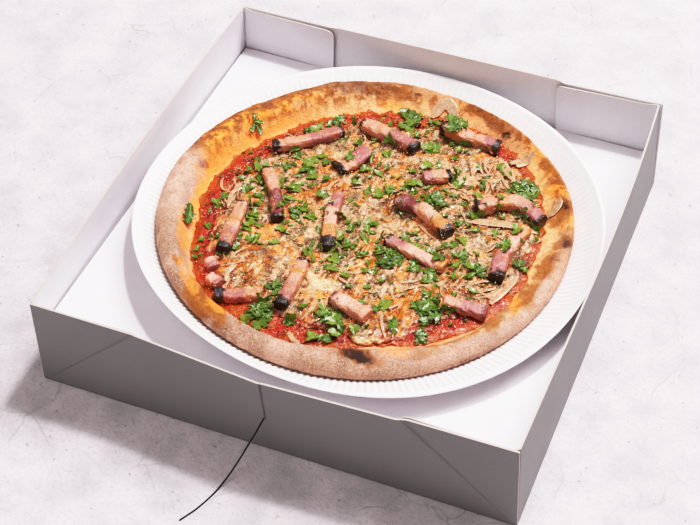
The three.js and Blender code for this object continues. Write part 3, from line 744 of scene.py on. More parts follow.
def grain(x, y, size, seed, layers=3):
    """Cloudy unevenness from about -1 to 1, in lumps of a size in millimetres."""
    total, share = 0.0, 0.0
    for layer in range(layers):
        u, v = x / size * 2**layer + 57.3 * layer, y / size * 2**layer - 31.7 * layer
        column, row = np.floor(u).astype(int), np.floor(v).astype(int)
        s, t = smooth_step(u - column, 0, 1), smooth_step(v - row, 0, 1)
        (a, b), (c, d) = (
            [lattice(column + right, row + up, seed + layer) for right in (0, 1)] for up in (0, 1)
        )
        low, high = a * (1 - s) + b * s, c * (1 - s) + d * s
        total = total + (low * (1 - t) + high * t) * 0.5**layer
        share += 0.5**layer
    return total / share * 1.5


def blots(x, y, size, seed, low, high, layers=3):
    """Ragged blots of a size in millimetres, from 0 to 1 where the cloudiness rises."""
    return smooth_step(grain(x, y, size, seed, layers), low, high)


def patch(x, y, middle_x, middle_y, half_length, half_width, turn, ragged=0.35, seed=3):
    """How far each place is inside a ragged oval, from 0 outside to 1."""
    along = (x - middle_x) * math.cos(turn) + (y - middle_y) * math.sin(turn)
    across = (y - middle_y) * math.cos(turn) - (x - middle_x) * math.sin(turn)
    lump = max(2.5, 0.6 * min(half_length, half_width))
    reach = np.hypot(along / half_length, across / half_width) + ragged * grain(x, y, lump, seed)
    return smooth_step(reach, 1.25, 0.55)


def coat(colours, *layers):
    """Lays colours over others, one after another, each by a share for every point."""
    for share, colour in layers:
        share = np.clip(share, 0, 1)[:, None]
        colours = colours * (1 - share) + colour * share
    return colours


def curved(a, b, c, d, part):
    """A smooth way from b to c, with a before them and d after."""
    return b + 0.5 * part * (c - a + part * (2 * a - 5 * b + 4 * c - d + part * (3 * (b - c) + d - a)))


def round_value(radii, angle):
    radii = np.array(radii, float)
    place = (angle / (2 * np.pi) % 1) * len(radii)
    step = np.floor(place).astype(int)
    a, b, c, d = (radii[(step + offset) % len(radii)] for offset in (-1, 0, 1, 2))
    return curved(a, b, c, d, place - step)


def on_pizza(angle, radius):
    return PIZZA_X + radius * np.cos(angle), PIZZA_Y + radius * np.sin(angle)


def polar(x, y):
    """The angle and distance of places from the pizza's middle."""
    return np.arctan2(y - PIZZA_Y, x - PIZZA_X), np.hypot(x - PIZZA_X, y - PIZZA_Y)


def crust_edge(angle):
    return PIZZA_RADIUS + wave(PIZZA_WOBBLE, angle)


def dough_edge(angle):
    return round_value(DOUGH_EDGE, angle)


def crust_foot(angle):
    return plate_top(*on_pizza(angle, crust_edge(angle))) + RIM_GAP


def dough_top(angle, radius):
    inner = dough_edge(angle)
    width = crust_edge(angle) - inner
    across = (radius - inner) / width
    lumps = 0.7 * np.sin(7 * angle) + 0.5 * np.sin(12 * angle + 1)
    foot = crust_foot(angle)
    flatter = toward(angle, 0.9, 0.1, 0.7)
    height = RIM_RISE * (1 - RIGHT_LOWER * flatter) * np.minimum(1.1, np.sqrt(width / RIM_WIDTH))
    crest = foot + height + lumps
    top = RIM_CREST + RIGHT_OUTWARD * flatter
    even = RIGHT_EVEN * flatter
    rise = (1 - even) * smooth_step(across, 0, top) + even * across / top
    rising = DOUGH_TOP + (crest - DOUGH_TOP) * rise
    fall = np.clip((across - top) / (1 - top), 0, 1)
    falling = foot + RIM_WAIST + (crest - foot - RIM_WAIST) * np.sqrt(1 - fall**2.4)
    return np.where(across < top, rising, falling)


dough = Finish("baked dough", 0.8)
crumb = dough.noise(1.5, 4, 0.7)
pores = dough.noise(0.8, 2)
specks = dough.noise(3.4, 4, 0.7)
flour = dough.attribute("flour")
crumbled = dough.times(dough.between(crumb, 0.46, 0.6), dough.between(flour, 0, 1, 0.45, 0.8))
floured = dough.times(dough.between(pores, 0.5, 0.62, 0, 0.6), flour)
dusted = dough.mix(crumbled, dough.tint("baking"), (0.68, 0.52, 0.4, 1), "MULTIPLY")
dusted = dough.speckle(dusted, specks, 0.55, 0.66, 0.45, (0.6, 0.42, 0.28, 1), "MULTIPLY")
dough.set("Base Color", dough.mix(floured, dusted, FLOUR_PALE))
dough.set("Roughness", dough.between(dough.attribute("oil"), 0, 1, 0.85, 0.4))
dough.relief(crumb, 0.8)
dough.relief(pores, 0.3)

angle = all_round(CRUST_COLUMNS)
edge = crust_edge(angle)
inner = dough_edge(angle)
foot = crust_foot(angle)
cragged = 0.9 * grain(edge * np.cos(angle), edge * np.sin(angle), 5, 21)
rings = []
below = [(60, GAP), *((radius, RIM_GAP) for radius in (108, 118, 124, 128, 131))]
for radius, gap in below:
    x, y = on_pizza(angle, radius)
    rings.append(places(x, y, plate_top(x, y) + gap))
for inset, lift in RIM_FOOT:
    x, y = on_pizza(angle, edge - inset + 0.35 * cragged)
    rings.append(places(x, y, foot + lift - FOOT_SINK * (1 - lift / RIM_FOOT[-1][1])))
for across in np.concatenate([[1.0, 0.9985, 0.994, 0.985], np.linspace(0.97, 0, 44)]):
    radius = inner + across * (edge - inner)
    x, y = on_pizza(angle, radius)
    uneven = 0.8 * grain(x, y, 17, 5, 2) + 0.3 * grain(x, y, 5, 8) + 0.09 * grain(x, y, 1.6, 9, 2)
    rings.append(places(x, y, dough_top(angle, radius) + smooth_step(across, 0, 0.25) * uneven))
rings += [places(*on_pizza(angle, radius), DOUGH_TOP) for radius in (104, 92, 60)]
points, faces = closed_skin((PIZZA_X, PIZZA_Y, PAPER + GAP), np.array(rings), (PIZZA_X, PIZZA_Y, DOUGH_TOP))

x, y, z = points.T
turn, radius = polar(x, y)
degrees = np.degrees(turn)
across = (radius - dough_edge(turn)) / (crust_edge(turn) - dough_edge(turn))
over_foot = z - crust_foot(turn)
# Flour lies on the rim from the left, round the front, to the right.
floury = smooth_step(degrees, 32, -16) * smooth_step(degrees, -200, -170)
floury = np.maximum(floury, smooth_step(degrees, 172, 180))
# At the right only its outer side is floury.
inner_edge = 0.16 + 0.4 * toward(turn, 0.0, 0.3, 0.85)
floury = floury * smooth_step(across + 0.12 * grain(x, y, 9, 4), inner_edge, inner_edge + 0.18)
behind_left = toward(turn, 2.4, 0.72, 0.88)
dulled = 0.35 + 0.45 * smooth_step(y, -40, -100)
baking = coat(
    np.tile(BAKED, (len(points), 1)),
    (0.4 + 0.8 * grain(x, y, 14, 31), GOLDEN),
    (0.8 * blots(x, y, 6, 33, 0.1, 0.7), CREAM),
    (0.95 * floury, FLOURY),
    (dulled * floury * blots(x, y, 11, 34, 0.1, 0.8), FLOUR_DULL),
    (0.7 * floury * blots(x, y, 9, 37, 0.1, 0.8), FLOUR_PALE),
    (toward(turn, -1.9, 0.0, 0.5) * smooth_step(across, 0.3, 0.14), CREAM),
    # The inner slope at the right and behind is painted pale cream: partly its own cream, partly painted
    # light on a slope that lies in shade.
    (0.9 * toward(turn, 1.3, -0.1, 0.5) * smooth_step(across, 0.65, 0.35), PALE_CREAM),
    (0.35 * toward(turn, 1.6, 0.7, 0.95), CREAM),
    (0.85 * behind_left * smooth_step(across + 0.1 * grain(x, y, 8, 39), 0.5, 0.78), TOASTED),
)
# The patches are placed as they show from the front, so high places draw theirs from further back.
lift = z - CHEESE_LEVEL
hidden = smooth_step(across, 0.6, 0.75) * (y > PIZZA_Y)
lift = lift + hidden * np.clip(CREST_LIFT - lift, 0, None)
inner_front = smooth_step(across, 0.6, 0.4) * smooth_step(PIZZA_Y - y, 0, 40)
lift = lift * (1 - 0.35 * inner_front)
bare = np.zeros(len(points))
for colour, *oval, fullness in RIM_PATCHES:
    share = fullness * patch(x - SHIFT_RIGHT * lift, y + SHIFT_BACK * lift, *oval)
    baking = coat(baking, (share, colour))
    bare = np.maximum(bare, share)
dusty = floury * (1 - bare) * (0.55 + 0.45 * smooth_step(y, -20, -90))
# The amber and brown mottling is thinned on the inner slope, which paints it lighter where it lies in shade.
mottled = (1 - floury) * (0.35 + 0.65 * smooth_step(across, 0.25, 0.6))
# Tomato and oil have run into the dough along the sauce's edge, most of all at the left.
soaked = 0.05 + 0.2 * toward(turn, 2.85, 0.6, 0.95)
run = smooth_step(across + 0.08 * grain(x, y, 6, 17), soaked + 0.06, soaked - 0.06)
stained = smooth_step(across + 0.05 * grain(x, y, 5, 18), 0.07, -0.01)
# Just over the plate the foot is browner: partly its baked underside, partly painted shade where it meets the
# plate.
under = smooth_step(over_foot, 1.6, 0.3) * smooth_step(across, 0.9, 0.97)
craggy = patch(x, y, *CRAGGY_FOOT) * smooth_step(over_foot, 6, 2) * smooth_step(across, 0.8, 0.9)
baking = coat(
    baking,
    (0.85 * mottled * blots(x, y, 4.5, 35, 0.05, 0.5), AMBER),
    (0.6 * mottled * blots(x, y, 3, 36, 0.45, 0.8), BROWN),
    (0.8 * behind_left * blots(x, y, 2.4, 42, 0.05, 0.3) * smooth_step(across, 0.1, 0.4), AMBER),
    (0.85 * behind_left * blots(x, y, 2.6, 43, 0.1, 0.4) * smooth_step(across, 0.35, 0.6), BROWN),
    (0.5 * toward(turn, -0.45, 0.7, 0.95) * floury * (0.8 + 0.5 * grain(x, y, 6, 45)), FLOUR_PALE),
    # The pale flour at the left is partly painted light, since that side faces away from the lamps.
    (0.9 * toward(turn, math.pi - 0.25, 0.7, 0.92) * floury * (0.75 + 0.6 * grain(x, y, 6, 44)), FLOUR_PALE),
    (0.65 * run, OILED),
    (0.8 * stained, STAIN),
    (0.5 * under, TOASTED),
    (0.7 * craggy * (0.7 + 0.8 * grain(x, y, 3, 41)), BROWN),
)
shades = {"baking": baking, "oil": run, "flour": dusty}
lay_piece("baked_crust", points, faces, dough, "crust", shades)

# ---------- Tomato sauce ----------
# Crushed tomatoes, spread by spoon nearly to the rim. It is wet, pulpy and bright where it shows
# past the cheese, and thins to an oily orange stain at its edge.

SAUCE_BOTTOM = DOUGH_TOP + GAP
SAUCE_THICKNESS = 1.2
SAUCE_COLUMNS = 720
SAUCE_RED = seen(206, 44, 8)
SAUCE_DEEP = seen(138, 24, 10)
SAUCE_ORANGE = seen(218, 98, 26)


def sauce_top(x, y):
    return SAUCE_BOTTOM + SAUCE_THICKNESS + 0.2 * np.sin(x / 6) * np.cos(y / 7)


sauce = Finish("wet tomato sauce", 0.22)
pulp = sauce.noise(1.5, 3, 0.6)
pulpy = sauce.tint("sauce_colour")
pulpy = sauce.speckle(pulpy, pulp, 0.5, 0.36, 0.7, (0.5, 0.3, 0.25, 1), "MULTIPLY")
# The pale orange specks on the pulp are painted highlights.
pulpy = sauce.speckle(pulpy, pulp, 0.62, 0.72, 0.4, seen(240, 150, 96))
sauce.set("Base Color", pulpy)
sauce.set("Specular IOR Level", 0.4)
sauce.gloss(0.15, 0.05)
sauce.relief(sauce.noise(2.4, 2), 1.2)
sauce.relief(pulp, 0.7)

angle = all_round(SAUCE_COLUMNS)
x, y = on_pizza(angle, 115.0)
edge = dough_edge(angle) + 1.8 + 2.2 * grain(x, y, 8, 71) + grain(x, y, 2.5, 72)
rings = [places(*on_pizza(angle, edge - inset), SAUCE_BOTTOM) for inset in (3, 0.2)]
for share in np.concatenate([np.linspace(1, 0.7, 44), np.linspace(0.68, 0.05, 12)]):
    radius = edge * share
    x, y = on_pizza(angle, radius)
    z = sauce_top(x, y) + 0.5 * grain(x, y, 6, 73, 2) + 0.6 * np.abs(grain(x, y, 2.8, 75, 2))
    z = z - 1.1 * smooth_step(share, 0.955, 1.0)
    rings.append(places(x, y, np.maximum(z, dough_top(angle, radius) + 0.1)))
poles = [(PIZZA_X, PIZZA_Y, SAUCE_BOTTOM), (PIZZA_X, PIZZA_Y, SAUCE_BOTTOM + 1)]
points, faces = closed_skin(poles[0], np.array(rings), poles[1])
x, y, z = points.T
turn, radius = polar(x, y)
near_rim = smooth_step(radius - dough_edge(turn) + 1.5 * grain(x, y, 5, 76), -4, 1.5)
colours = coat(
    np.tile(SAUCE_RED, (len(points), 1)),
    (0.3 + 1.1 * grain(x, y, 3.5, 77), SAUCE_DEEP),
    (0.1 + 0.7 * grain(x, y, 7, 79), SAUCE_ORANGE),
    (0.85 * near_rim, SAUCE_ORANGE),
)
shades = {"sauce_colour": colours}
lay_piece("spread_sauce", points, faces, sauce, "tomato_sauce", shades)

# ---------- Cheese ----------
# Cheese melted over the sauce, thin and lumpy. It is beige and half clear, creamy where it has
# stayed thick, and orange where it has fried in its own oil. Red shows through where it is bare.

CHEESE_BOTTOM = SAUCE_BOTTOM + SAUCE_THICKNESS + GAP + 0.2
CHEESE_THICKNESS = 1.9
CHEESE_COLUMNS = 840
# Where it has run out beyond its edge: how far, toward which angle and over how many degrees.
FLOWS = [(9, 295, 10), (5, 75, 12)]
RIGHT_FLOW = 5
RUN_OVER = (44, -96, 20, 7, 0.2)  # in front it has run over the sauce to the rim, in thick folds
NO_FRINGE = (44, -97, 20, 7, 0.2)
BEIGE = seen(172, 134, 82)
PALE_BEIGE = seen(240, 212, 166)
GREY_BEIGE = seen(148, 112, 62)
THICK_CREAM = seen(246, 234, 190)
YELLOW = seen(246, 186, 76)
FRIED = seen(226, 126, 22)
FRIED_DARK = seen(152, 72, 20)
BARE_RED = seen(196, 42, 10)

# Patches on the cheese, told like those on the rim.
CHEESE_PATCHES = [
    (THICK_CREAM, -4, -62, 9, 6, 0.3, 0.9),
    (THICK_CREAM, -40, 56, 7, 5, 0.4, 0.8),
    (THICK_CREAM, 44, -96, 20, 6, 0.2, 1.0),
    (PALE_BEIGE, -20, -8, 24, 10, 0.2, 0.6),
    (PALE_BEIGE, 36, 70, 24, 8, -0.2, 0.6),
    (YELLOW, -60, -36, 13, 7, 0.0, 0.9),
    (YELLOW, 14, -30, 9, 16, 0.4, 0.9),
    (YELLOW, 42, -60, 14, 7, 0.3, 0.8),
    (YELLOW, 6, 36, 7, 12, 0.1, 0.6),
    (YELLOW, -58, 44, 9, 6, 0.5, 0.5),
    (YELLOW, 62, 84, 12, 6, -0.3, 0.5),
    (FRIED, -58, -68, 13, 9, 0.2, 0.95),
    (FRIED_DARK, -53, -76, 9, 6, 0.2, 0.7),
    (FRIED, -50, -58, 10, 5, 0.2, 0.7),
    (FRIED, 14, -24, 8, 8, 0.6, 0.8),
    (FRIED, 56, -46, 11, 6, 0.3, 0.9),
    (FRIED, 46, -66, 12, 9, 0.0, 0.9),
    (FRIED_DARK, 44, -76, 8, 4, 0.0, 0.6),
    (FRIED, 73, -41, 7, 4, 0.0, 0.9),
    (FRIED, 62, -37, 5, 3, 0.3, 0.6),
    (FRIED, -28, 24, 9, 5, 0.2, 0.95),
    (FRIED, -46, 49, 5, 5, 0.2, 0.9),
    (FRIED, 32, 82, 8, 6, 0.0, 0.9),
    (FRIED_DARK, 34, 84, 6, 3, 0.0, 0.6),
    (FRIED, 5, 60, 4, 6, 0.0, 0.7),
    (FRIED, 1, 38, 5, 5, 0.0, 0.6),
    (FRIED, -50, 12, 10, 6, 0.0, 0.7),
    (FRIED, 70, 30, 14, 4, 0.15, 0.6),
    (FRIED, 84, 86, 8, 4, 0.7, 0.8),
    (FRIED, 78, 40, 9, 4, 0.1, 0.8),
    (FRIED, 70, -10, 7, 4, 0.1, 0.8),
    (FRIED, -36, -42, 5, 3, 0.3, 0.6),
    (FRIED, -16, -42, 6, 4, 0.0, 0.6),
    (FRIED, 4, -50, 7, 3, 0.2, 0.7),
    (FRIED, -59, -48, 11, 3, 0.1, 0.8),
    (FRIED, -55, -22, 5, 3, 0.1, 0.7),
    (FRIED, 57, -56, 5, 4, 0.1, 0.6),
    (FRIED, -22, 48, 12, 5, 0.3, 0.8),
    (FRIED, 16, 8, 12, 4, 0.2, 0.7),
    (FRIED, 48, 16, 10, 5, -0.2, 0.7),
    (YELLOW, -24, -44, 14, 8, 0.2, 0.7),
    (YELLOW, 38, -20, 10, 8, 0.4, 0.6),
    (PALE_BEIGE, 14, -2, 16, 8, 0.3, 0.7),
    (PALE_BEIGE, 60, 4, 20, 8, 0.1, 0.6),
    (THICK_CREAM, -14, -60, 14, 7, 0.2, 0.7),
    (BARE_RED, -93, 32, 6, 14, -0.15, 0.95),
    (BARE_RED, -96, -6, 5, 16, 0.1, 0.8),
    (BARE_RED, -92, -42, 4, 16, 0.35, 0.8),
    (BARE_RED, -66, 82, 5, 9, -0.4, 0.9),
    (BARE_RED, -14, 102, 12, 4, 0.1, 0.9),
    (BARE_RED, 28, 88, 8, 3, 0.0, 0.5),
    (BARE_RED, 56, 80, 5, 4, 0.3, 0.7),
    (BARE_RED, 66, 97, 5, 4, 0.3, 0.9),
    (BARE_RED, 107, 12, 3, 9, 0.0, 0.85),
    (BARE_RED, 96, 74, 5, 6, 0.7, 0.8),
    (BARE_RED, 84, -60, 12, 7, 0.8, 0.9),
    (BARE_RED, 60, -88, 16, 4, 0.3, 0.8),
    (BARE_RED, -18, -99, 12, 5, -0.1, 0.9),
    (BARE_RED, 10, -104, 8, 4, 0.0, 0.8),
    (BARE_RED, -50, 30, 5, 3, 0.3, 0.4),
    (BARE_RED, 86, 76, 5, 3, 0.3, 0.5),
]


def cheese_edge(angle):
    return round_value(CHEESE_EDGE, angle)


def cheese_top(x, y):
    hills = 0.6 * np.sin(x / 9 + 1) * np.cos(y / 8) + 0.5 * np.sin((x + y) / 13 + 2)
    return CHEESE_BOTTOM + CHEESE_THICKNESS + hills


def bareness(x, y):
    """Where the cheese has run off the sauce, from 0 to 1."""
    bare = np.zeros(x.shape)
    for colour, *oval, fullness in CHEESE_PATCHES:
        if colour is BARE_RED:
            bare = np.maximum(bare, fullness * patch(x, y, *oval))
    return bare


cheese = Finish("melted cheese", 0.35)
shreds = cheese.noise(1.9, 4, 0.65)
dots = cheese.noise(1.3, 2)
melt = cheese.tint("cheese_colour")
oily = cheese.attribute("oily")
dry = cheese.sum(1.0, oily, "SUBTRACT")
pale_share = cheese.times(cheese.between(dots, 0.58, 0.66, 0, 0.45), dry)
shredded = cheese.between(shreds, 0.5, 0.36, 0, 0.4)
shredded = cheese.times(shredded, cheese.between(oily, 0, 1, 1, 0.4))
melt = cheese.mix(shredded, melt, (0.62, 0.45, 0.27, 1), "MULTIPLY")
gaps = cheese.noise(4.2, 4, 0.7)
melt = cheese.speckle(melt, gaps, 0.52, 0.4, 0.9, (0.42, 0.28, 0.14, 1), "MULTIPLY")
threads = cheese.noise(3.0, 3, 0.5, cheese.stretched(1, 0.3, 1))
melt = cheese.speckle(melt, threads, 0.54, 0.62, 0.55, seen(244, 226, 194))
cheese.set("Base Color", cheese.mix(pale_share, melt, seen(250, 232, 214)))
cheese.set("Roughness", cheese.between(oily, 0, 1, 0.36, 0.1))
cheese.set("Specular IOR Level", 0.35)
cheese.gloss(0.35, 0.05)
cheese.relief(cheese.noise(3.2, 2), 1.5)
cheese.relief(shreds, 0.6)

angle = all_round(CHEESE_COLUMNS)
degrees = np.degrees(angle)
x, y = on_pizza(angle, 100.0)
ragged = 3.6 * grain(x, y, 13, 91) + 1.6 * grain(x, y, 4, 92)
flow = sum(far * np.exp(-(((degrees - way) / over) ** 2)) for far, way, over in FLOWS)
flow = flow + RIGHT_FLOW * toward(angle, 0.25, 0.72, 0.94)
edge = cheese_edge(angle) + ragged + flow + 1.0
rings = [places(*on_pizza(angle, edge - 1.5), CHEESE_BOTTOM - 0.4)]
for share in np.linspace(1, 0.012, 108):
    x, y = on_pizza(angle, edge * share)
    lumps = 0.9 * grain(x, y, 9, 93, 2) + 0.9 * np.abs(grain(x, y, 4, 95, 2))
    lumps = lumps + 0.35 * np.abs(grain(x, y, 2, 97, 2))
    z = cheese_top(x, y) + lumps - 0.5 - 1.4 * bareness(x, y)
    thin = smooth_step(share, 0.93, 1.0)
    z = z * (1 - thin) + (CHEESE_BOTTOM - 0.2) * thin
    folds = patch(x, y, *RUN_OVER) * (1.4 + 0.5 * np.sin(0.9 * x - 0.5 * y))
    z = z + folds * smooth_step(share, 1.0, 0.985)
    rings.append(places(x, y, z))
poles = [(PIZZA_X, PIZZA_Y, CHEESE_BOTTOM), (PIZZA_X, PIZZA_Y, rings[-1][:, 2].mean())]
points, faces = closed_skin(poles[0], np.array(rings), poles[1])
x, y, z = points.T
turn, radius = polar(x, y)
browned = blots(x, y, 9, 107, 0.15, 0.45)
oily = 0.8 * browned
colours = coat(
    np.tile(BEIGE, (len(points), 1)),
    (0.9 * blots(x, y, 6, 101, 0.1, 0.4), PALE_BEIGE),
    (0.85 * blots(x, y, 4.5, 103, 0.0, 0.4), GREY_BEIGE),
    (0.6 * blots(x - 0.5 * y, 1.8 * y, 8, 104, 0.15, 0.5), PALE_BEIGE),
    (0.9 * blots(x, y, 8, 105, 0.2, 0.5), YELLOW),
    (0.85 * browned, FRIED),
    (0.7 * blots(x, y, 4, 108, 0.2, 0.6), FRIED_DARK),
)
for colour, *oval, fullness in CHEESE_PATCHES:
    share = fullness * patch(x, y, *oval)
    colours = coat(colours, (share, colour))
    if any(colour is wet for wet in (FRIED, FRIED_DARK, BARE_RED)):
        oily = np.maximum(oily, share)
# Its edge has thinned out to red, but not where it has run over in front, and less at the right.
reach = radius / np.interp(turn % (2 * np.pi), angle, edge) + 0.04 * grain(x, y, 5, 109)
fringe = smooth_step(reach, 0.9, 1.0) * (1 - patch(x, y, *NO_FRINGE))
fringe = 0.8 * fringe * (1 - 0.85 * toward(turn, 0.25, 0.7, 0.9))
shades = {"cheese_colour": coat(colours, (fringe, BARE_RED)), "oily": np.maximum(oily, fringe)}
lay_piece("melted_cover", points, faces, cheese, "melted_cheese", shades)


def food_top(x, y):
    """The highest of dough, sauce and cheese at a place."""
    angle, radius = polar(x, y)
    bare = np.where(radius < dough_edge(angle), sauce_top(x, y), 0)
    around = np.maximum(bare, dough_top(angle, radius))
    return np.where(radius < cheese_edge(angle), cheese_top(x, y), around)


# ---------- Bacon ----------
# Batons cut from a smoked slab, rind and all. Each is banded along its length: blackened rind at an
# end, pale fat that has turned peach in the oven, and pink lean meat.

CHARRED = seen(34, 20, 18)
MEAT = seen(208, 128, 122)
DARK_MEAT = seen(152, 72, 70)
FAT = seen(238, 186, 152)
LARD = seen(243, 206, 184)
TAN = seen(232, 162, 84)
BACON_SINK = 0.7  # each baton is sunk this deep into the melted cheese
BATON_ENDS = [(0.99, 0.15), (0.95, 0.35), (0.85, 0.5), (0.6, 0.6), (0.25, 0.6)]
BATON_COLUMNS = 40
BURNT_EDGE = 0.012  # half the width of the change to a burnt band, as a share of the baton's length
SOFT_EDGE = 0.05
BATON_SQUARENESS = 3.4
# Each baton's route over the pizza, its width and height, and its bands: each one's colour, with
# where it ends along the baton, in percent.
BATONS = [
    ([(-84, 44), (-67, 56), (-47, 77)], 9, 7, [CHARRED, 8, FAT, 50, MEAT, 94, CHARRED]),
    ([(-36, 88), (-16, 84), (7, 79)], 10, 8, [CHARRED, 5, FAT, 48, MEAT, 92, CHARRED]),
    ([(-23, 65), (-29, 53), (-35, 40)], 13, 6, [MEAT, 60, FAT, 92, CHARRED]),
    ([(-78, 20), (-64, 1), (-53, -21)], 8, 7, [CHARRED, 3, FAT, 50, DARK_MEAT, 94, CHARRED]),
    ([(-24, 15), (-21, -7), (-12, -33)], 9, 7, [MEAT, 30, LARD, 60, TAN, 85, CHARRED]),
    ([(-79, -18), (-77, -38), (-74, -60)], 9, 7, [CHARRED, 4, FAT, 30, TAN, 42, FAT, 60, MEAT, 88, CHARRED]),
    ([(-79, -70), (-73, -75)], 9, 6, [LARD, 60, MEAT]),
    ([(-72, -84), (-64, -87)], 8, 6, [LARD, 70, MEAT]),
    ([(-62, -97), (-49, -92), (-36, -87)], 9, 7, [CHARRED, 22, MEAT, 66, FAT]),
    ([(-22, -50), (-20, -70), (-20, -92)], 9, 7, [CHARRED, 4, FAT, 25, TAN, 40, FAT, 55, MEAT, 89, CHARRED]),
    ([(7, -73), (20, -76), (33, -80)], 10, 8, [DARK_MEAT, 8, LARD, 80, FAT]),
    ([(73, -49), (99, -47)], 10, 7, [FAT, 40, MEAT, 93, DARK_MEAT]),
    ([(20, -11), (40, -16), (62, -20)], 9, 6, [CHARRED, 6, MEAT, 30, LARD, 92, TAN]),
    ([(99, 31), (94, 4), (96, -19)], 10, 8, [TAN, 12, LARD, 50, MEAT, 92, CHARRED]),
    ([(64, 38), (85, 53), (107, 44)], 11, 9, [CHARRED, 5, FAT, 30, TAN, 45, FAT, 64, MEAT, 93, CHARRED]),
    ([(16, 106), (36, 103), (58, 103)], 10, 9, [CHARRED, 10, TAN, 40, FAT, 70, MEAT, 92, CHARRED]),
    ([(13, 26), (32, 22), (55, 8)], 11, 8, [CHARRED, 2, DARK_MEAT, 38, LARD, 68, TAN, 90, CHARRED]),
    ([(22, 52), (37, 63)], 9, 7, [MEAT, 35, FAT, 88, CHARRED]),
]

bacon = Finish("smoked bacon", 0.38)
strands = bacon.noise(1.4, 4, 0.6)
flecks = bacon.noise(3.0, 3, 0.6)
fibres = bacon.tint("banding")
fibres = bacon.speckle(fibres, strands, 0.35, 0.7, 0.55, (0.85, 0.6, 0.5, 1), "MULTIPLY")
fibres = bacon.speckle(fibres, flecks, 0.56, 0.7, 0.4, (1.0, 0.8, 0.6, 1), "OVERLAY")
bacon.set("Base Color", fibres)
bacon.set("Roughness", bacon.between(strands, 0.3, 0.7, 0.2, 0.45))
bacon.set("Specular IOR Level", 0.6)
bacon.relief(flecks, 0.8)
bacon.relief(strands, 0.5)


def smooth_route(route, count):
    """Evenly spaced places on a smooth line through a route's places."""
    route = np.asarray(route, float)
    ends = [2 * route[0] - route[1], *route, 2 * route[-1] - route[-2]]
    spans = []
    for a, b, c, d in zip(ends, ends[1:], ends[2:], ends[3:]):
        spans.append(curved(a, b, c, d, np.linspace(0, 1, 24, endpoint=False)[:, None]))
    line = np.concatenate([*spans, [route[-1]]])
    along = np.concatenate([[0], np.cumsum(np.linalg.norm(np.diff(line, axis=0), axis=1))])
    at = np.linspace(0, along[-1], count)
    return np.stack([np.interp(at, along, line[:, part]) for part in range(line.shape[1])], -1)


def swept(line, width, height, squareness, count, ends, swell):
    """Rings of a squarish section along a line, with rounded-off ends. The ends say how wide each
    cap is and how far out, and the swell how wide and how high the section is at each place."""
    tangent = np.gradient(line, axis=0)
    tangent[:, 2] = 0
    tangent /= np.linalg.norm(tangent, axis=1)[:, None]
    left = places(-tangent[:, 1], tangent[:, 0], 0)
    turn = all_round(count)
    side = np.sign(np.cos(turn)) * np.abs(np.cos(turn)) ** (2 / squareness) * width / 2
    up = np.sign(np.sin(turn)) * np.abs(np.sin(turn)) ** (2 / squareness) * height / 2
    rings = line[:, None] + left[:, None] * (side * swell[:, :1])[..., None]
    rings[..., 2] += up * swell[:, 1:]
    for end, way in ((0, -1), (-1, 1)):
        out = tangent[end] * way
        caps = [line[end] + (rings[end] - line[end]) * scale + out * reach for scale, reach in ends]
        rings = np.concatenate([caps[::-1], rings]) if end == 0 else np.concatenate([rings, caps])
    return rings


baton_lines = []
for number, (route, width, height, bands) in enumerate(BATONS, 1):
    supports = food_top(*np.asarray(route, float).T)
    line = smooth_route(np.column_stack([route, supports]), 48)
    line[:, 2] += height / 2 - BACON_SINK + 0.25
    baton_lines.append((line, width, height))
    u, v = line[:, 0], line[:, 1]
    wider, higher = grain(u, v, 8, 201 + number, 2), grain(u, v, 7, 241 + number, 2)
    swell = np.stack([1 + 0.13 * wider, 1 + 0.1 * higher], -1)
    line = line + places(0, 0, 0.3 * grain(u, v, 9, 251 + number, 1))
    rings = swept(line, width * 0.98, height, BATON_SQUARENESS, BATON_COLUMNS, BATON_ENDS, swell)
    points, faces = closed_skin(rings[0].mean(0), rings, rings[-1].mean(0))
    x, y, z = points.T
    centres = np.repeat(rings.mean(1), BATON_COLUMNS, axis=0)
    out = points - np.concatenate([[line[0]], centres, [line[-1]]])
    out /= np.linalg.norm(out, axis=1)[:, None] + 0.01
    rough = 0.55 * grain(x + 2 * z, y - z, 4.5, 211 + number, 2)
    rough = rough + 0.2 * grain(x + z, y + 3 * z, 1.6, 213 + number, 2)
    points = points + out * rough[:, None]
    # Where each point lies along the baton, for its bands.
    nearest = np.argmin(np.hypot(x[:, None] - line[None, :, 0], y[:, None] - line[None, :, 1]), axis=1)
    share = nearest / (len(line) - 1) + 0.06 * grain(x + 1.5 * z, y - z, 4, 221 + number, 2)
    banding = np.tile(bands[0], (len(points), 1))
    for before, percent, colour in zip(bands[::2], bands[1::2], bands[2::2]):
        soft = BURNT_EDGE if colour is CHARRED or before is CHARRED else SOFT_EDGE
        limit = percent / 100
        banding = coat(banding, (smooth_step(share, limit - soft, limit + soft), colour))
    burnt = banding[:, 0] < 2 * CHARRED[0]
    base = line[:, 2].min() - height / 2
    # Each baton's lower sides are painted darker with dark meat: painted shade.
    low = smooth_step(z, base + height * 0.8, base + height * 0.15)
    spots = blots(x * 0.8 + 2 * z, y * 0.8, 3.2, 231 + number, 0.25, 0.8, 2)
    ash = blots(x + z, y - z, 1.5, 233 + number, 0.4, 0.9, 2)
    banding = coat(
        banding,
        (np.where(burnt, 0, 0.4 * low), DARK_MEAT),
        (np.where(burnt, 0, 0.5 * spots), TAN),
        (np.where(burnt, 0.1 * ash, 0), TAN),
    )
    name, replaced = f"smoked_baton_{number:02d}", f"bacon_{number:02d}"
    lay_piece(name, points, faces, bacon, replaced, {"banding": banding})


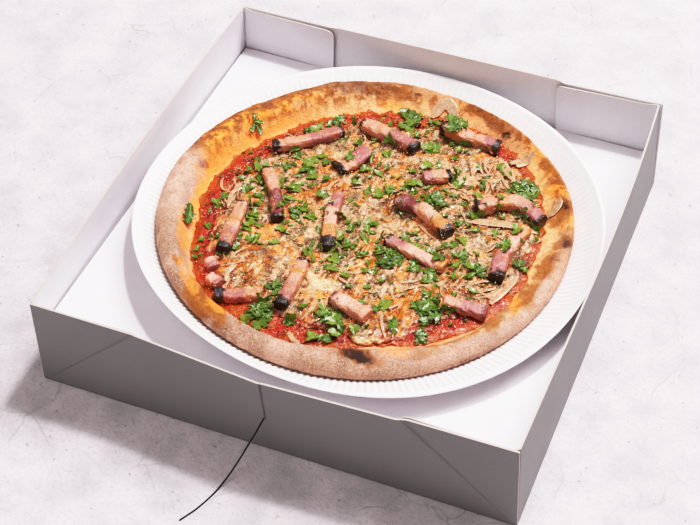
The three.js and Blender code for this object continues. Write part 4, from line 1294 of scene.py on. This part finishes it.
def top_with_bacon(x, y):
    """The highest of the food and the bacon on it at a place."""
    highest = food_top(x, y)
    for line, width, height in baton_lines:
        gap = np.hypot(x[..., None] - line[:, 0], y[..., None] - line[:, 1])
        nearest = gap.argmin(-1)
        over = line[nearest, 2] + height / 2 * (1 - (gap.min(-1) / (width / 2)) ** 4 * 0.4)
        highest = np.where(gap.min(-1) < width / 2, np.maximum(highest, over), highest)
    return highest


# ---------- Onion ----------
# Thin slices of onion, cooked soft and glassy, that lie in loose curls all over. The widest are
# pieces of their own, and the fine shreds between them are one.

ONION_LIFT = 0.5
STRIP_ENDS = [(0.6, 0.25), (0.2, 0.35)]
STRIP_COLUMNS = 12
STRIP_SQUARENESS = 2.6
ONION_REACH = 108  # no shred lies further out than this
# Each slice's route over the pizza, its width and its height.
ONIONS = [
    ([(-86, 2), (-91, -8), (-88, -22)], 3, 1.4),
    ([(-61, -67), (-63, -76), (-61, -83)], 3, 1.6),
    ([(83, 104), (76, 98), (70, 91)], 8, 1.2),
    ([(62, 92), (68, 86), (78, 75)], 6, 1.2),
    ([(2, 119), (10, 130), (21, 124)], 7, 1.2),
    ([(107, -6), (104, -20), (99, -36)], 4.5, 1.2),
    ([(60, 27), (84, 33), (107, 36)], 6, 1.2),
    ([(-8, -106), (-3, -111), (3, -113)], 3.5, 1.2),
    ([(108, 52), (112, 58), (112, 66)], 6, 1.2),
]
# Where shreds lie thickest: a middle, a reach and how many.
SHRED_PLACES = [
    (72, 84, 20, 14),
    (50, 66, 16, 9),
    (-88, -12, 12, 9),
    (-62, -72, 12, 6),
    (98, -26, 14, 8),
    (86, 34, 20, 8),
    (30, -44, 26, 9),
    (-50, -4, 24, 5),
    (-74, 64, 18, 5),
    (0, 0, 100, 34),
]

onion = Finish("soft onion", 0.14)
flesh = onion.between(onion.noise(3, 3), 0.35, 0.65)
flesh = onion.mix(flesh, seen(238, 206, 166), seen(212, 166, 118))
veins = onion.sum(onion.times(onion.attribute("rib"), 9.0), 0.0, "SINE")
flesh = onion.speckle(flesh, veins, 0.2, 1.0, 0.4, seen(206, 164, 120))
# The strips' sides are painted pale: a painted highlight for their glassy edges.
painted_edge_highlight = onion.sum(onion.attribute("rib"), 0.0, "ABSOLUTE")
flesh = onion.speckle(flesh, painted_edge_highlight, 0.5, 1.0, 0.45, seen(250, 236, 212))
onion.set("Base Color", flesh)
onion.set("IOR", 1.4)
onion.gloss(0.6, 0.08)
onion.relief(onion.noise(1.2, 2), 0.35)


class Heap:
    """Many small closed skins that make up one piece, with a value or colour for each point."""

    def __init__(self):
        self.points, self.faces, self.values = [], [], []

    def add(self, points, faces, values):
        start = sum(map(len, self.points))
        self.points.append(points)
        self.values.append(values)
        self.faces += [[corner + start for corner in face] for face in faces]

    def piece(self, name, finish, slot, replaced, label):
        shades = {label: np.concatenate(self.values)}
        lay_piece(name, np.concatenate(self.points), self.faces, finish, replaced, shades)


def onion_strip(route, width, height, lift, count):
    plan = smooth_route(route, count)
    ground = food_top(*plan.T)
    smoothed = np.convolve(np.pad(ground, 3, mode="edge"), np.ones(7) / 7, mode="valid")
    line = np.column_stack([plan, np.maximum(ground, smoothed) + lift + height / 2])
    to_end = np.minimum(np.arange(count), np.arange(count)[::-1])
    taper = np.clip(to_end / (count * 0.22), 0.25, 1) ** 0.6
    swell = np.stack([taper, taper], -1)
    rings = swept(line, width, height, STRIP_SQUARENESS, STRIP_COLUMNS, STRIP_ENDS, swell)
    # A wide slice leans with whatever it lies on.
    middle = rings.mean(1, keepdims=True)
    off = np.linalg.norm(rings[..., :2] - middle[..., :2], axis=-1)
    lean = food_top(rings[..., 0], rings[..., 1]) - food_top(middle[..., 0], middle[..., 1])
    rings[..., 2] += np.clip(lean, -off, off)
    rib = np.concatenate([[0], np.tile(np.cos(all_round(STRIP_COLUMNS)), len(rings)), [0]])
    return *closed_skin(rings[0].mean(0), rings, rings[-1].mean(0)), rib


for number, (route, width, height) in enumerate(ONIONS, 1):
    points, faces, rib = onion_strip(route, width, height, ONION_LIFT, 30)
    x, y, z = points.T
    points = points + places(0, 0, 0.3 * grain(x, y, 3, 301 + number))
    name, replaced = f"onion_ribbon_{number}", f"onion_strip_{number}"
    lay_piece(name, points, faces, onion, replaced, {"rib": rib})

draw = np.random.default_rng(5)
shreds = Heap()
for middle_x, middle_y, reach, wanted in SHRED_PLACES:
    while wanted:
        angle, radius = draw.uniform(0, 2 * np.pi), reach * math.sqrt(draw.uniform(0, 1))
        start = np.array([middle_x + radius * np.cos(angle), middle_y + radius * np.sin(angle)])
        heading, bend, length = draw.uniform(0, 2 * np.pi), draw.uniform(-0.09, 0.09), draw.uniform(8, 26)
        width, height = draw.uniform(0.5, 2.0), draw.uniform(0.35, 0.7)
        turns = heading + bend * np.linspace(0, length, 6)
        route = start + np.column_stack([np.cumsum(np.cos(turns)), np.cumsum(np.sin(turns))]) * (length / 6)
        lift = draw.uniform(0.3, 1.1)
        if polar(*route.T)[1].max() <= ONION_REACH:
            shreds.add(*onion_strip(route, width, height, lift, 16))
            wanted -= 1
shreds.piece("onion_shreds", onion, "onion", None, "rib")

# ---------- Parsley leaves ----------
# Flat-leaf parsley, torn over the pizza once it is out of the oven: sprays of toothed leaflets,
# each folded along its vein and curled, that lie on the food or stand off it.

LEAF_THICKNESS = 0.4
LEAF_GAP = 0.5
LEAF_COLUMNS = 17
LEAF_ROWS = 7
LEAF_LOBES = 3
LEAF_RAGGED = 0.3
# Each leaf or spray: its middle, length, width, turn, how many leaflets, and how far it stands off
# the food. With no count it is a single leaf.
LEAVES = [
    (25, 108, 19, 15, 0.3, 3, 9.3),
    (65, -58, 21, 19, 0.8, 5, 0),
    (37, 35, 17, 15, -0.3, 3, 1),
    (88, 68, 24, 15, -0.5, 5, 0.3),
    (30, -26, 18, 14, -0.2, 5, 0),
    (-45, -9, 10, 11, 0.5, 3, 0),
    (69, -5, 12, 12, 1.2, 3, 0),
    (106, 2, 11, 9, 1.5, 3, 1.2),
    (-107, -40, 19, 6, -1.2, 0, 0),
    (11, -87, 15, 11, -1.2, 4, 0),
    (-30, -76, 13, 9, 1.4, 3, 0),
    (-30, -99, 17, 10, 1.5, 5, 0),
    (-56, 90, 16, 8, -0.5, 4, 0),
    (-9, 113, 20, 12, 0.7, 5, 0),
    (-101, 56, 12, 9, 0.2, 4, 0),
    (84, -15, 13, 8, 1.3, 3, 0),
    (15, -102, 12, 8, -0.9, 3, 0),
    (68, -79, 13, 7, 0.2, 4, 0),
]
LEAF_DARK = seen(52, 84, 12)
LEAF_GREEN = seen(96, 134, 22)
LEAF_BRIGHT = seen(142, 168, 48)
VEIN = seen(180, 200, 104)

leaf = Finish("fresh parsley", 0.3)
leaf_cells = leaf.noise(1.4, 3)
celled = leaf.speckle(leaf.tint("leaf_colour"), leaf_cells, 0.4, 0.7, 0.5, LEAF_DARK)
leaf.set("Base Color", celled)
leaf.gloss(0.3, 0.15)
leaf.relief(leaf_cells, 0.4)


def slab(top, bottom):
    """A closed skin between two grids of places. Seen from above, columns go right and rows away."""
    at = np.arange(top.shape[0] * top.shape[1]).reshape(top.shape[:2])
    a, b, c, d = cell_corners(at)
    faces = np.stack([a, b, c, d], -1).reshape(-1, 4).tolist()
    faces += (np.stack([a, d, c, b], -1).reshape(-1, 4) + at.size).tolist()
    rim = np.concatenate([at[0], at[1:, -1], at[-1, -2::-1], at[-2:0:-1, 0]])
    after = np.roll(rim, -1)
    faces += np.stack([after, rim, rim + at.size, after + at.size], 1).tolist()
    return np.concatenate([top.reshape(-1, 3), bottom.reshape(-1, 3)]), faces


def leaflet(fold, droop, twist):
    """A leaflet of length 1 along X as a grid of places, and how near each is to a vein."""
    column = np.arange(LEAF_COLUMNS)
    along, across = np.meshgrid(column / column[-1], np.linspace(-1, 1, LEAF_ROWS))
    outline = 0.1 + 0.36 * np.sin(np.pi * along**1.25) ** 0.75
    outline = outline * (1 + 0.36 * np.cos(2 * np.pi * LEAF_LOBES * along + np.pi))
    toothed = np.where(column % 2, 1.24, 0.74)
    side = np.sign(across).astype(int)
    torn = lattice(column, side, round(100 * twist) + 7)
    width = outline * np.where(np.abs(across) > 0.99, toothed, 1.0) * (1 + LEAF_RAGGED * torn)
    x = along + 0.12 * np.abs(across) * outline * 2
    y = across * width + 0.08 * np.sin(4 * along + twist)
    z = fold * np.abs(across) * outline - droop * along**2 + 0.05 * np.sin(7 * along + twist) * np.abs(across)
    z = z + twist * 0.12 * across * along
    side_veins = np.exp(-(((along * 7 + np.abs(across) * 1.5) % 1 - 0.5) ** 2) * 40)
    vein = np.exp(-((across * 5) ** 2)) + 0.5 * side_veins * (np.abs(across) < 0.9)
    return places(x, y, z), np.clip(vein, 0, 1)


for number, (leaf_x, leaf_y, length, width, turn, lobes, lift) in enumerate(LEAVES, 1):
    draw = np.random.default_rng(500 + number)
    spread = np.linspace(-1, 1, lobes) * (1.1 + 0.12 * lobes) if lobes else [0]
    spray = Heap()
    for place in spread:
        size = 0.62 * length * (1 - 0.22 * abs(place) / 2) if lobes else length
        size = size * draw.uniform(0.9, 1.1)
        fold, droop, twist = draw.uniform(0.05, 0.25), draw.uniform(-0.1, 0.15), draw.uniform(-1, 1)
        grid, vein = leaflet(fold, droop, twist)
        # The sprays of four have slim leaflets.
        slim = 0.5 if lobes == 4 else draw.uniform(0.65, 0.95)
        grid = grid * size * (1, slim, 1)
        if lobes == 0:
            grid = (grid - (size / 2, 0, 0)) * (1, 1.3 * width / length, 1)
        aim = turn + place * min(1.0, width / length + 0.25)
        px = leaf_x + grid[..., 0] * np.cos(aim) - grid[..., 1] * np.sin(aim)
        py = leaf_y + grid[..., 0] * np.sin(aim) + grid[..., 1] * np.cos(aim)
        if lobes:
            px, py = px - 0.22 * length * np.cos(turn), py - 0.22 * length * np.sin(turn)
        lie = food_top(px, py)
        lie = 0.5 * lie + 0.5 * lie.max() + LEAF_GAP + lift + draw.uniform(0, 0.9)
        top = places(px, py, lie + grid[..., 2] * 0.8 + LEAF_THICKNESS)
        points, faces = slab(top, top - (0, 0, LEAF_THICKNESS))
        tone = LEAF_DARK + (LEAF_GREEN - LEAF_DARK) * draw.uniform(0.2, 1.0)
        tones = np.tile(tone, (len(points), 1))
        tones[len(points) // 2 :] = LEAF_BRIGHT
        uneven = 0.5 * grain(points[:, 0], points[:, 1], 5, 401 + number)
        tones = coat(tones, (0.4 * np.tile(vein.ravel(), 2), VEIN), (uneven, LEAF_BRIGHT))
        spray.add(points, faces, tones)
    name, replaced = f"torn_leaf_{number:02d}", f"parsley_leaf_{number:02d}"
    spray.piece(name, leaf, "parsley", replaced, "leaf_colour")

# ---------- Chopped parsley and grated cheese ----------
# Parsley chopped with a knife, and hard cheese grated fine, thrown by hand over the whole pizza,
# bacon and all. Each kind is one piece, strewn by a seeded rule over the shape of the food below.

STREW_STEP = 1.5
# Where the parsley lies thickest: its middle, half length, half width, turn and how full.
PARSLEY_PLACES = [
    (30, 30, 40, 16, 0.0, 1.0),
    (40, -16, 44, 16, -0.1, 1.0),
    (66, -54, 15, 12, 0.3, 1.0),
    (-60, 38, 22, 14, 0.2, 0.6),
    (-40, -4, 18, 9, 0.0, 0.9),
    (-4, -28, 9, 16, 0.0, 0.8),
    (-70, -28, 8, 18, 0.0, 0.6),
    (84, 62, 20, 14, -0.5, 0.9),
    (12, -88, 12, 9, 0.0, 1.0),
    (-30, -88, 10, 16, 0.2, 1.0),
    (-46, -16, 14, 9, 0.0, 0.9),
    (-72, 66, 16, 14, 0.4, 0.9),
    (-4, 100, 18, 12, 0.2, 1.0),
    (64, 60, 24, 12, 0.0, 0.8),
    (-14, 46, 20, 12, 0.0, 0.8),
    (-84, 14, 12, 20, 0.2, 0.6),
]
PARSLEY_BARE = [(-4, -62, 14, 10, 0.3, 0.9), (-60, -58, 16, 10, 0.2, 0.6), (44, -96, 20, 6, 0.2, 0.9)]
# The shapes of scrap: its corners, seed, slimness, fold and bow.
PARSLEY_SCRAPS = [
    (16, 3, 0.8, 0.3, 0.2),
    (13, 5, 0.55, 0.2, -0.2),
    (18, 8, 1.0, 0.4, 0.3),
    (10, 9, 0.28, 0.1, 0.3),
    (15, 12, 0.45, 0.3, -0.1),
]
SCRAP_THICKNESS = 0.045
# The shapes of grating: its length, width, height and bow.
GRATINGS = [(1.6, 0.5, 0.35, 0.25), (0.9, 0.6, 0.45, 0.0), (1.2, 0.4, 0.4, -0.3)]
PARSLEY_NUMBERS = {
    "Per square metre": 66000,
    "Least distance": 0.0011,
    "Smallest": 1.8,
    "Largest": 10.5,
    "Tilt": 0.3,
    "Lift": 0.0009,
    "Seed": 7,
}
GRATED_NUMBERS = {
    "Per square metre": 190000,
    "Least distance": 0.0006,
    "Smallest": 0.4,
    "Largest": 1.15,
    "Tilt": 0.8,
    "Lift": 0.0007,
    "Seed": 9,
}
MOSTLY_SMALL = 1.6  # the more this is over 1, the more of the bits are near the smallest


def strew_ground():
    """A passing sheet over all the food, with how much of each kind falls on it."""
    side = np.arange(-120, 120.1, STREW_STEP)
    x, y = np.meshgrid(PIZZA_X + side, PIZZA_Y + side)
    z = top_with_bacon(x, y) + 0.1
    angle, radius = polar(x, y)
    inside = smooth_step(radius - dough_edge(angle), 1.0, -5.0)
    parsley = 0.12 + 0.5 * np.clip(grain(x, y, 12, 111, 2), 0, 1)
    for *oval, fullness in PARSLEY_PLACES:
        parsley = np.maximum(parsley, fullness * patch(x, y, *oval, 0.2))
    for *oval, fullness in PARSLEY_BARE:
        parsley = parsley * (1 - fullness * patch(x, y, *oval, 0.2))
    gratings = 0.45 + 0.55 * np.clip(grain(x, y, 11, 115, 2), -0.6, 1)
    # Little stays on the bacon, which is oily and stands up.
    bare_bacon = np.where(z > food_top(x, y) + 1.5, 0.25, 1.0)
    parsley, gratings = parsley * bare_bacon, gratings * bare_bacon
    at = np.arange(x.size).reshape(x.shape)
    faces = np.stack(cell_corners(at), -1).reshape(-1, 4).tolist()
    mesh = bpy.data.meshes.new("strew_ground")
    mesh.from_pydata(on_floor(places(x, y, z).reshape(-1, 3)).tolist(), [], faces)
    for label, amount in (("parsley", parsley * inside), ("gratings", gratings * inside)):
        amount = np.clip(amount, 0, 1).astype(np.float32).ravel()
        mesh.attributes.new(label, "FLOAT", "POINT").data.foreach_set("value", amount)
    return add_object("strew_ground", mesh)


def bit(name, points, faces):
    """One bit of a kind, drawn at about 1 mm."""
    mesh = bpy.data.meshes.new(name)
    mesh.from_pydata((np.asarray(points) / 1000).tolist(), [], faces)
    return bpy.data.objects.new(name, mesh)


def strew(name, ground, bits, finish, where, numbers):
    """Bits strewn over the ground, as one piece, by numbers that bear the names of its inputs."""
    stock = bpy.data.collections.new(name + "_stock")
    bpy.context.scene.collection.children.link(stock)
    for shape in bits:
        stock.objects.link(shape)
    tree = bpy.data.node_groups.new(name, "GeometryNodeTree")
    tree.interface.new_socket("Ground", in_out="INPUT", socket_type="NodeSocketGeometry")
    values = {}
    for label, value in numbers.items():
        kind = "NodeSocketInt" if label == "Seed" else "NodeSocketFloat"
        socket = tree.interface.new_socket(label, in_out="INPUT", socket_type=kind)
        values[socket.identifier] = value
    tree.interface.new_socket("Strewn", in_out="OUTPUT", socket_type="NodeSocketGeometry")
    given = tree.nodes.new("NodeGroupInput").outputs
    result = tree.nodes.new("NodeGroupOutput")

    def node(kind, links=(), **settings):
        """What comes out of a new node."""
        return add_node(tree, kind, links, **settings).outputs

    density = node("GeometryNodeInputNamedAttribute", {"Name": where}, data_type="FLOAT")["Attribute"]
    links = {
        "Mesh": given["Ground"],
        "Distance Min": given["Least distance"],
        "Density Max": given["Per square metre"],
        "Density Factor": density,
        "Seed": given["Seed"],
    }
    spots = node("GeometryNodeDistributePointsOnFaces", links, distribute_method="POISSON")
    tilt = given["Tilt"]
    back = node("ShaderNodeMath", {0: tilt, 1: -1.0}, operation="MULTIPLY")[0]
    low = node("ShaderNodeCombineXYZ", {"X": back, "Y": back, "Z": 0.0})[0]
    high = node("ShaderNodeCombineXYZ", {"X": tilt, "Y": tilt, "Z": 2 * math.pi})[0]
    links = {0: low, 1: high, "Seed": given["Seed"]}
    turn = node("FunctionNodeRandomValue", links, data_type="FLOAT_VECTOR")[0]
    links = {"Rotation": spots["Rotation"], "Rotate By": turn}
    turned = node("FunctionNodeRotateRotation", links, rotation_space="LOCAL")[0]
    # Most bits are small, and few are near the largest.
    part = node("FunctionNodeRandomValue", {2: 0.0, 3: 1.0, "Seed": given["Seed"]})[1]
    part = node("ShaderNodeMath", {0: part, 1: MOSTLY_SMALL}, operation="POWER")[0]
    links = {"Value": part, "To Min": given["Smallest"], "To Max": given["Largest"]}
    size = node("ShaderNodeMapRange", links)[0]
    links = {"Collection": stock, "Separate Children": True, "Reset Children": True}
    shapes = node("GeometryNodeCollectionInfo", links)[0]
    links = {
        "Points": spots["Points"],
        "Instance": shapes,
        "Pick Instance": True,
        "Rotation": turned,
        "Scale": size,
    }
    placed = node("GeometryNodeInstanceOnPoints", links)[0]
    up = node("ShaderNodeCombineXYZ", {"Z": given["Lift"]})[0]
    links = {"Instances": placed, "Translation": up, "Local Space": False}
    lifted = node("GeometryNodeTranslateInstances", links)[0]
    tone = node("FunctionNodeRandomValue", {2: 0.0, 3: 1.0, "Seed": given["Seed"]})[1]
    links = {"Geometry": lifted, "Name": "tone", "Value": tone}
    toned = node("GeometryNodeStoreNamedAttribute", links, data_type="FLOAT", domain="INSTANCE")[0]
    real = node("GeometryNodeRealizeInstances", {"Geometry": toned})[0]
    painted = node("GeometryNodeSetMaterial", {"Geometry": real, "Material": finish.material})[0]
    tree.links.new(painted, result.inputs[0])

    maker = ground.modifiers.new(name, "NODES")
    maker.node_group = tree
    for identifier, value in values.items():
        maker[identifier] = value
    evaluated = ground.evaluated_get(bpy.context.evaluated_depsgraph_get())
    mesh = bpy.data.meshes.new_from_object(evaluated)
    mesh.name = name
    ground.modifiers.remove(maker)
    for shape in bits:
        bpy.data.objects.remove(shape)
    bpy.data.collections.remove(stock)
    piece = add_object(name, mesh)
    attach(piece, "root")


ground = strew_ground()

chopped = Finish("chopped parsley", 0.32)
tone = chopped.attribute("tone")
fresh = chopped.mix(chopped.between(tone, 0, 0.75), LEAF_DARK, LEAF_GREEN)
fresh = chopped.mix(chopped.between(tone, 0.8, 1), fresh, LEAF_BRIGHT)
fresh = chopped.speckle(fresh, chopped.noise(1.6), 0.5, 0.7, 0.5, LEAF_BRIGHT)
chopped.set("Base Color", fresh)
chopped.gloss(0.3, 0.15)
chopped.relief(chopped.noise(1.0, 2), 0.3)


def cut_leaf(corners, seed, slim, fold, bow):
    """A scrap of leaf of diameter 1 with a jagged edge, bent along its vein."""
    turn = all_round(corners)
    reach = 0.42 * (1 + 0.22 * np.cos(3 * turn + seed) + 0.32 * lattice(np.arange(corners), 0, seed))
    rings = []
    for share in (0.5, 1.0):
        x, y = share * reach * np.cos(turn), share * reach * np.sin(turn) * slim
        z = fold * np.abs(y) - bow * x**2 + 0.05 * share * lattice(np.arange(corners), 1, seed)
        rings.append(places(x, y, z))
    inner, outer = rings
    thick = np.array([0, 0, SCRAP_THICKNESS])
    return closed_skin((0, 0, 0), np.array([inner, outer, outer + thick, inner + thick]), thick)


parsley_bits = [
    bit(f"parsley_bit_{number}", *cut_leaf(*scrap)) for number, scrap in enumerate(PARSLEY_SCRAPS)
]
strew("chopped_parsley", ground, parsley_bits, chopped, "parsley", PARSLEY_NUMBERS)

grated = Finish("grated hard cheese", 0.4)
ivory = grated.mix(grated.attribute("tone"), seen(252, 246, 234), seen(240, 220, 194))
grated.set("Base Color", ivory)
grated_bits = []
for number, (length, width, height, bow) in enumerate(GRATINGS):
    along, across = np.meshgrid(np.linspace(-0.5, 0.5, 3), np.linspace(-0.5, 0.5, 2))
    grid = places(along * length, across * width * (1 - 1.2 * along**2), bow * along**2)
    grated_bits.append(bit(f"grating_{number}", *slab(grid + (0, 0, height), grid)))
strew("grated_cheese", ground, grated_bits, grated, "gratings", GRATED_NUMBERS)
bpy.data.objects.remove(ground)

# ---------- Table and light ----------
# A plain pale table top, a large soft window behind and to the right, a small lamp high behind,
# and a little light from all round.

TABLE_SIDE = 4.0
# Each light: its direction from the tray, its distance, diameter, power and colour.
LIGHTS = {
    "window": ((0.42, 0.5, 1.0), 2.4, 1.25, 50, (1.0, 0.975, 1.0)),
    "lamp": ((0.14, 0.34, 1.0), 2.4, 0.2, 37, (1.0, 0.975, 1.0)),
    "room": ((-0.3, -0.5, 0.9), 2.2, 1.6, 11, (1.0, 0.97, 0.97)),
}
SKY_COLOUR = (1.0, 0.91, 0.87, 1)
SKY = 0.31

table_mesh = bpy.data.meshes.new("table_top")
half = TABLE_SIDE / 2
table_corners = [(-half, -half, 0), (half, -half, 0), (half, half, 0), (-half, half, 0)]
table_mesh.from_pydata(table_corners, [], [(0, 1, 2, 3)])
table_top = add_object("table_top", table_mesh)
table = Finish("pale table top", 0.8)
trowelled = table.noise(34, 5, 0.65)
grit = table.noise(2.6, 4, 0.7)
pits = table.noise(5, 2)
plaster = table.between(trowelled, 0.35, 0.65)
plaster = table.mix(plaster, seen(229, 225, 228), seen(242, 239, 241))
plaster = table.speckle(plaster, grit, 0.5, 0.7, 0.5, seen(206, 202, 202))
plaster = table.speckle(plaster, pits, 0.7, 0.74, 0.4, seen(176, 170, 168))
stains = table.noise(52, 2)
plaster = table.speckle(plaster, stains, 0.68, 0.78, 0.35, seen(222, 206, 178))
wavy = table.node("ShaderNodeTexNoise", {"Vector": table.place, "Scale": 30.0}).outputs["Color"]
wavy = table.mix(0.02, table.place, wavy)
cells = table.node("ShaderNodeTexVoronoi", {"Vector": wavy, "Scale": 22.0}, feature="DISTANCE_TO_EDGE")
cracks = table.between(cells.outputs["Distance"], 0.014, 0.006)
cracks = table.times(cracks, table.between(table.noise(60, 2), 0.52, 0.62, 0, 0.35))
plaster = table.mix(cracks, plaster, seen(178, 170, 168))
table.set("Base Color", plaster)
table.relief(trowelled, 1.6)
table.relief(grit, 0.7)
table.relief(table.between(pits, 0.7, 0.74, 1, 0), 0.5)
table_mesh.materials.append(table.material)

for name, (direction, distance, diameter, power, colour) in LIGHTS.items():
    light = bpy.data.lights.new(name, "AREA")
    light.shape = "DISK"
    light.size = diameter
    light.energy = power
    light.color = colour
    lamp = add_object(name, light)
    lamp.location = Vector(direction).normalized() * distance
    lamp.rotation_mode = "QUATERNION"
    lamp.rotation_quaternion = Vector(direction).to_track_quat("Z", "Y")

world = bpy.data.worlds.new("room")
world.use_nodes = True
sky = world.node_tree.nodes["Background"].inputs
sky["Color"].default_value = SKY_COLOUR
sky["Strength"].default_value = SKY
bpy.context.scene.world = world
